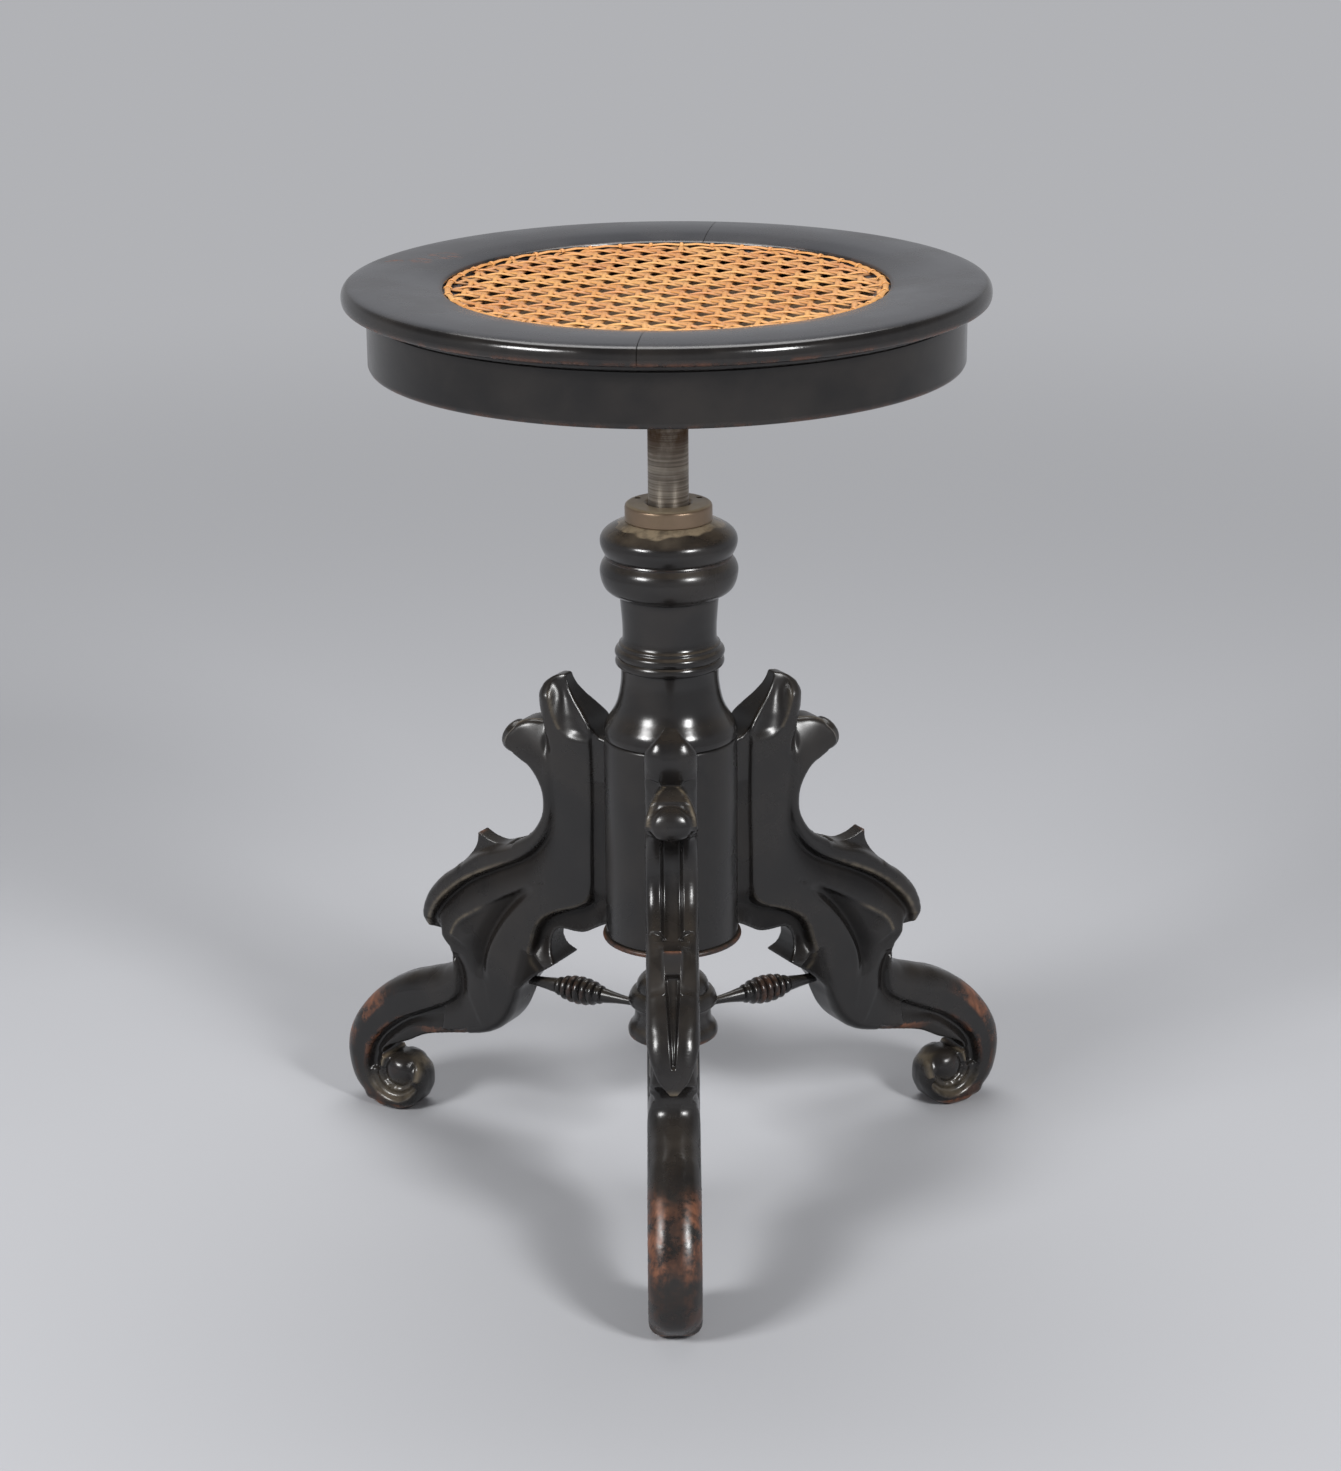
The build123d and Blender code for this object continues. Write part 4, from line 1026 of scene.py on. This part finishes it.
def carve_legs(context):
    sizes = context.scene.stool_sizes
    half = sizes.leg_half / MM
    corners = [i for i, point in enumerate(LEG_OUTLINE) if len(point) == 3]
    edge = drawn(LEG_LINE + LEG_LINE[:1], corners, step=1.2)[:-1]
    bm = bmesh.new()
    face = bm.faces.new([bm.verts.new((x * MM, -half * MM, z * MM)) for x, z in edge])
    thick = bmesh.ops.extrude_face_region(bm, geom=[face])
    moved = [v for v in thick["geom"] if isinstance(v, bmesh.types.BMVert)]
    bmesh.ops.translate(bm, vec=(0, 2 * half * MM, 0), verts=moved)
    bmesh.ops.recalc_face_normals(bm, faces=bm.faces)
    plank = placed(bm, "plank")
    remesh = plank.modifiers.new("even", "REMESH")
    remesh.mode = "VOXEL"
    remesh.voxel_size = sizes.carving_grain
    apply_modifiers(plank)

    co = coordinates(plank.data) / MM
    points, over = co[:, [0, 2]], co[:, 1]
    r, z = points.T
    gap, _ = away(points, np.vstack([edge, edge[:1]]))
    to_spur, _ = away(points, SPUR)
    fin = inside(points, SPUR, [(146, 176), (130, 198), (110, 196), (98, 192)])
    from_spur = np.abs(r - 118)
    side_gap = np.where(fin, 0, np.where(from_spur < 19, np.minimum(gap, to_spur), gap))
    radius = np.minimum(edge_radius(points), half - 0.2)
    radius = np.where(r < 38.5, 0.6, radius)
    radius = radius + (4.6 - radius) * (ease(to_spur, 9, 4) * (from_spur < 16))
    inset = np.maximum(radius - side_gap, 0)
    rounding = radius - np.sqrt(np.maximum(radius**2 - inset**2, 0))
    depth, wear, dust, shade = carve(points)
    knee_point = np.interp(z, [119, 122, 129, 138, 147], [13.4, 12.2, 6.2, 2.2, 0])
    knee_point *= ease(r, 149, 157) * (z > 117)
    cut = np.cbrt(depth**3 + rounding**3 + knee_point**3)
    cut = np.where(fin, np.maximum(cut, 5 + 4.4 * ease(to_spur, 0, 1.4)), cut)
    thickness = np.maximum(half - cut, 0.4)
    middle = np.abs(over * thickness / half)
    moved = points + inward(points, edge) * channel(points, middle, gap)[:, None]
    result = np.column_stack([moved[:, 0], over * thickness / half, moved[:, 1]]) * MM
    plank.data.vertices.foreach_set("co", result.ravel())
    soft = bmesh.new()
    soft.from_mesh(plank.data)
    for _ in range(2):
        bmesh.ops.smooth_vert(
            soft, verts=soft.verts, factor=0.5, use_axis_x=True, use_axis_y=True, use_axis_z=True
        )
    for vert in soft.verts:
        vert.co.z = max(vert.co.z, 0.0)

    on_toe = ease(r, 180, 200) * ease(z, 84, 70) * (0.2 + 0.8 * ease(z, 34, 50)) * ease(gap, 11, 9)
    on_toe *= (0.3 + 0.7 * ease(middle, 2, 7)) * ease(depth, 3, 1.5)
    on_bar = bell(r - 127, 1.4) * bell(z - 188.4, 1.2) * (middle < 5.2)
    sole = (z < 4) * (r > 178)
    wear = np.clip(wear + on_toe * 0.75 + sole * 0.5 + on_bar * 0.7, 0, 1)
    arch = bell(middle - np.interp(r, [77, 88, 99, 103], [2.6, 5.8, 11, 12.8]), 0.9)
    arch = arch * (z > 250) * (z < 268) * (r > 80) * (gap < 2.5)
    dust = np.clip(np.maximum(dust, arch * 0.5), 0, 1)
    wood = ebonised("legs", gloss=0.22, dusty=0.12, filmed=True)
    for side, azimuth in LEGS.items():
        copy = soft.copy()
        place = Matrix.Translation(AXIS) @ Matrix.Rotation(radians(azimuth), 4, "Z")
        bmesh.ops.transform(copy, matrix=place, verts=copy.verts)
        piece = finished(copy, f"leg_{side}_wood", "base", wood, [f"leg_{side}"], sharp=0)
        # The last mask is painted shade, which dims the reflection in deep cuts.
        for name, values in (("wear", wear), ("film", dust), ("painted_shade", shade * (gap > 1.5))):
            set_mask(piece, name, values)
    soft.free()
    bpy.data.objects.remove(plank)


class STOOL_OT_legs(bpy.types.Operator):
    """Carve one leg from its plank and set three of them round the drum"""

    bl_idname = "stool.legs"
    bl_label = "Carved legs"

    def execute(self, context):
        carve_legs(context)
        return {"FINISHED"}


# ---- stage


def softbox(name, place, target, size, power):
    lamp = bpy.data.lights.new(name, "AREA")
    lamp.shape = "RECTANGLE"
    lamp.size, lamp.size_y = size
    lamp.energy = power
    stand = linked(name, lamp)
    stand.location = place
    stand.rotation_euler = (Vector(target) - Vector(place)).to_track_quat("-Z", "Y").to_euler()


def set_stage(context):
    scene = context.scene
    scene.view_settings.view_transform = "Standard"
    bm = bmesh.new()
    bmesh.ops.create_grid(bm, x_segments=8, y_segments=8, size=14.0)
    floor = placed(bm, "floor")
    f = Finish("floor")
    tint = (*f.colours.floor, 1)
    # Far from the object the floor shows its own colour, so that it stays even to the horizon.
    gap = f.node("ShaderNodeVectorMath", {0: f.place}, operation="LENGTH").outputs["Value"]
    seen = f.node("ShaderNodeLightPath").outputs
    shows = f.math("ADD", seen["Is Camera Ray"], seen["Is Glossy Ray"])
    far = f.math("MULTIPLY", f.ramp(gap, 0.7, 2.6), shows)
    glow = f.node("ShaderNodeEmission", {"Color": tint, "Strength": 1}).outputs[0]
    mixed = f.node("ShaderNodeMixShader", {0: far, 1: f.shader.outputs[0], 2: glow}).outputs[0]
    f.fill(f.nodes["Material Output"], {0: mixed})
    floor.data.materials.append(f.dress(Base_Color=tint, Roughness=0.95, Specular_IOR_Level=0.1))

    softbox("softbox left", (-1.77, -1.43, 1.75), (0, 0, 0.3), (0.75, 0.65), 54)
    softbox("softbox right", (1.45, -1.75, 1.75), (0, 0, 0.3), (0.5, 0.65), 52)
    softbox("overhead", (0.0, 0.9, 2.4), (0, 0.1, 0.2), (1.8, 1.2), 30)

    # The walls are as pale as the floor, and the room is darker overhead.
    room = Finish("studio", "worlds", "Background")
    height = room.level(room.spaces["Generated"])
    scene.world = room.dress(Color=tint, Strength=room.ramp(height, 0.22, 0.55, 1, 0.22, "LINEAR"))

    lens = bpy.data.cameras.new("camera")
    lens.lens = 85.41
    lens.sensor_width = 36.0
    lens.clip_end = 60.0
    camera = linked("camera", lens)
    distance, height, pitch, roll = 1.85664, 0.89442, 0.3259, -0.0088
    turn = Matrix.Rotation(pi / 2 - pitch, 4, "X") @ Matrix.Rotation(roll, 4, "Z")
    camera.matrix_world = Matrix.Translation((0, AXIS_Y - distance, height)) @ turn
    scene.camera = camera


class STOOL_OT_stage(bpy.types.Operator):
    """Set the floor, the lamps and the camera"""

    bl_idname = "stool.stage"
    bl_label = "Stage"

    def execute(self, context):
        set_stage(context)
        return {"FINISHED"}


class STOOL_PT_panel(bpy.types.Panel):
    """Lists the stool's pieces in the sidebar"""

    bl_label = "Piano stool"
    bl_idname = "STOOL_PT_panel"
    bl_space_type = "VIEW_3D"
    bl_region_type = "UI"
    bl_category = "Stool"

    def draw(self, context):
        column = self.layout.column()
        for group in (context.scene.stool_sizes, context.scene.stool_colours):
            for name in group.__annotations__:
                column.prop(group, name)
        for operator in OPERATORS:
            column.operator(operator.bl_idname)


OPERATORS = (
    STOOL_OT_stage,
    STOOL_OT_seat_ring,
    STOOL_OT_apron,
    STOOL_OT_caning,
    STOOL_OT_pillar,
    STOOL_OT_collar,
    STOOL_OT_spindle,
    STOOL_OT_stretchers,
    STOOL_OT_legs,
)
CLASSES = (StoolSizes, StoolColours, *OPERATORS, STOOL_PT_panel)


def register():
    for item in CLASSES:
        bpy.utils.register_class(item)
    bpy.types.Scene.stool_sizes = PointerProperty(type=StoolSizes)
    bpy.types.Scene.stool_colours = PointerProperty(type=StoolColours)


def unregister():
    del bpy.types.Scene.stool_colours
    del bpy.types.Scene.stool_sizes
    for item in reversed(CLASSES):
        bpy.utils.unregister_class(item)


def main():
    register()
    for operator in OPERATORS:
        group, name = operator.bl_idname.split(".")
        getattr(getattr(bpy.ops, group), name)()


if __name__ == "__main__":
    main()
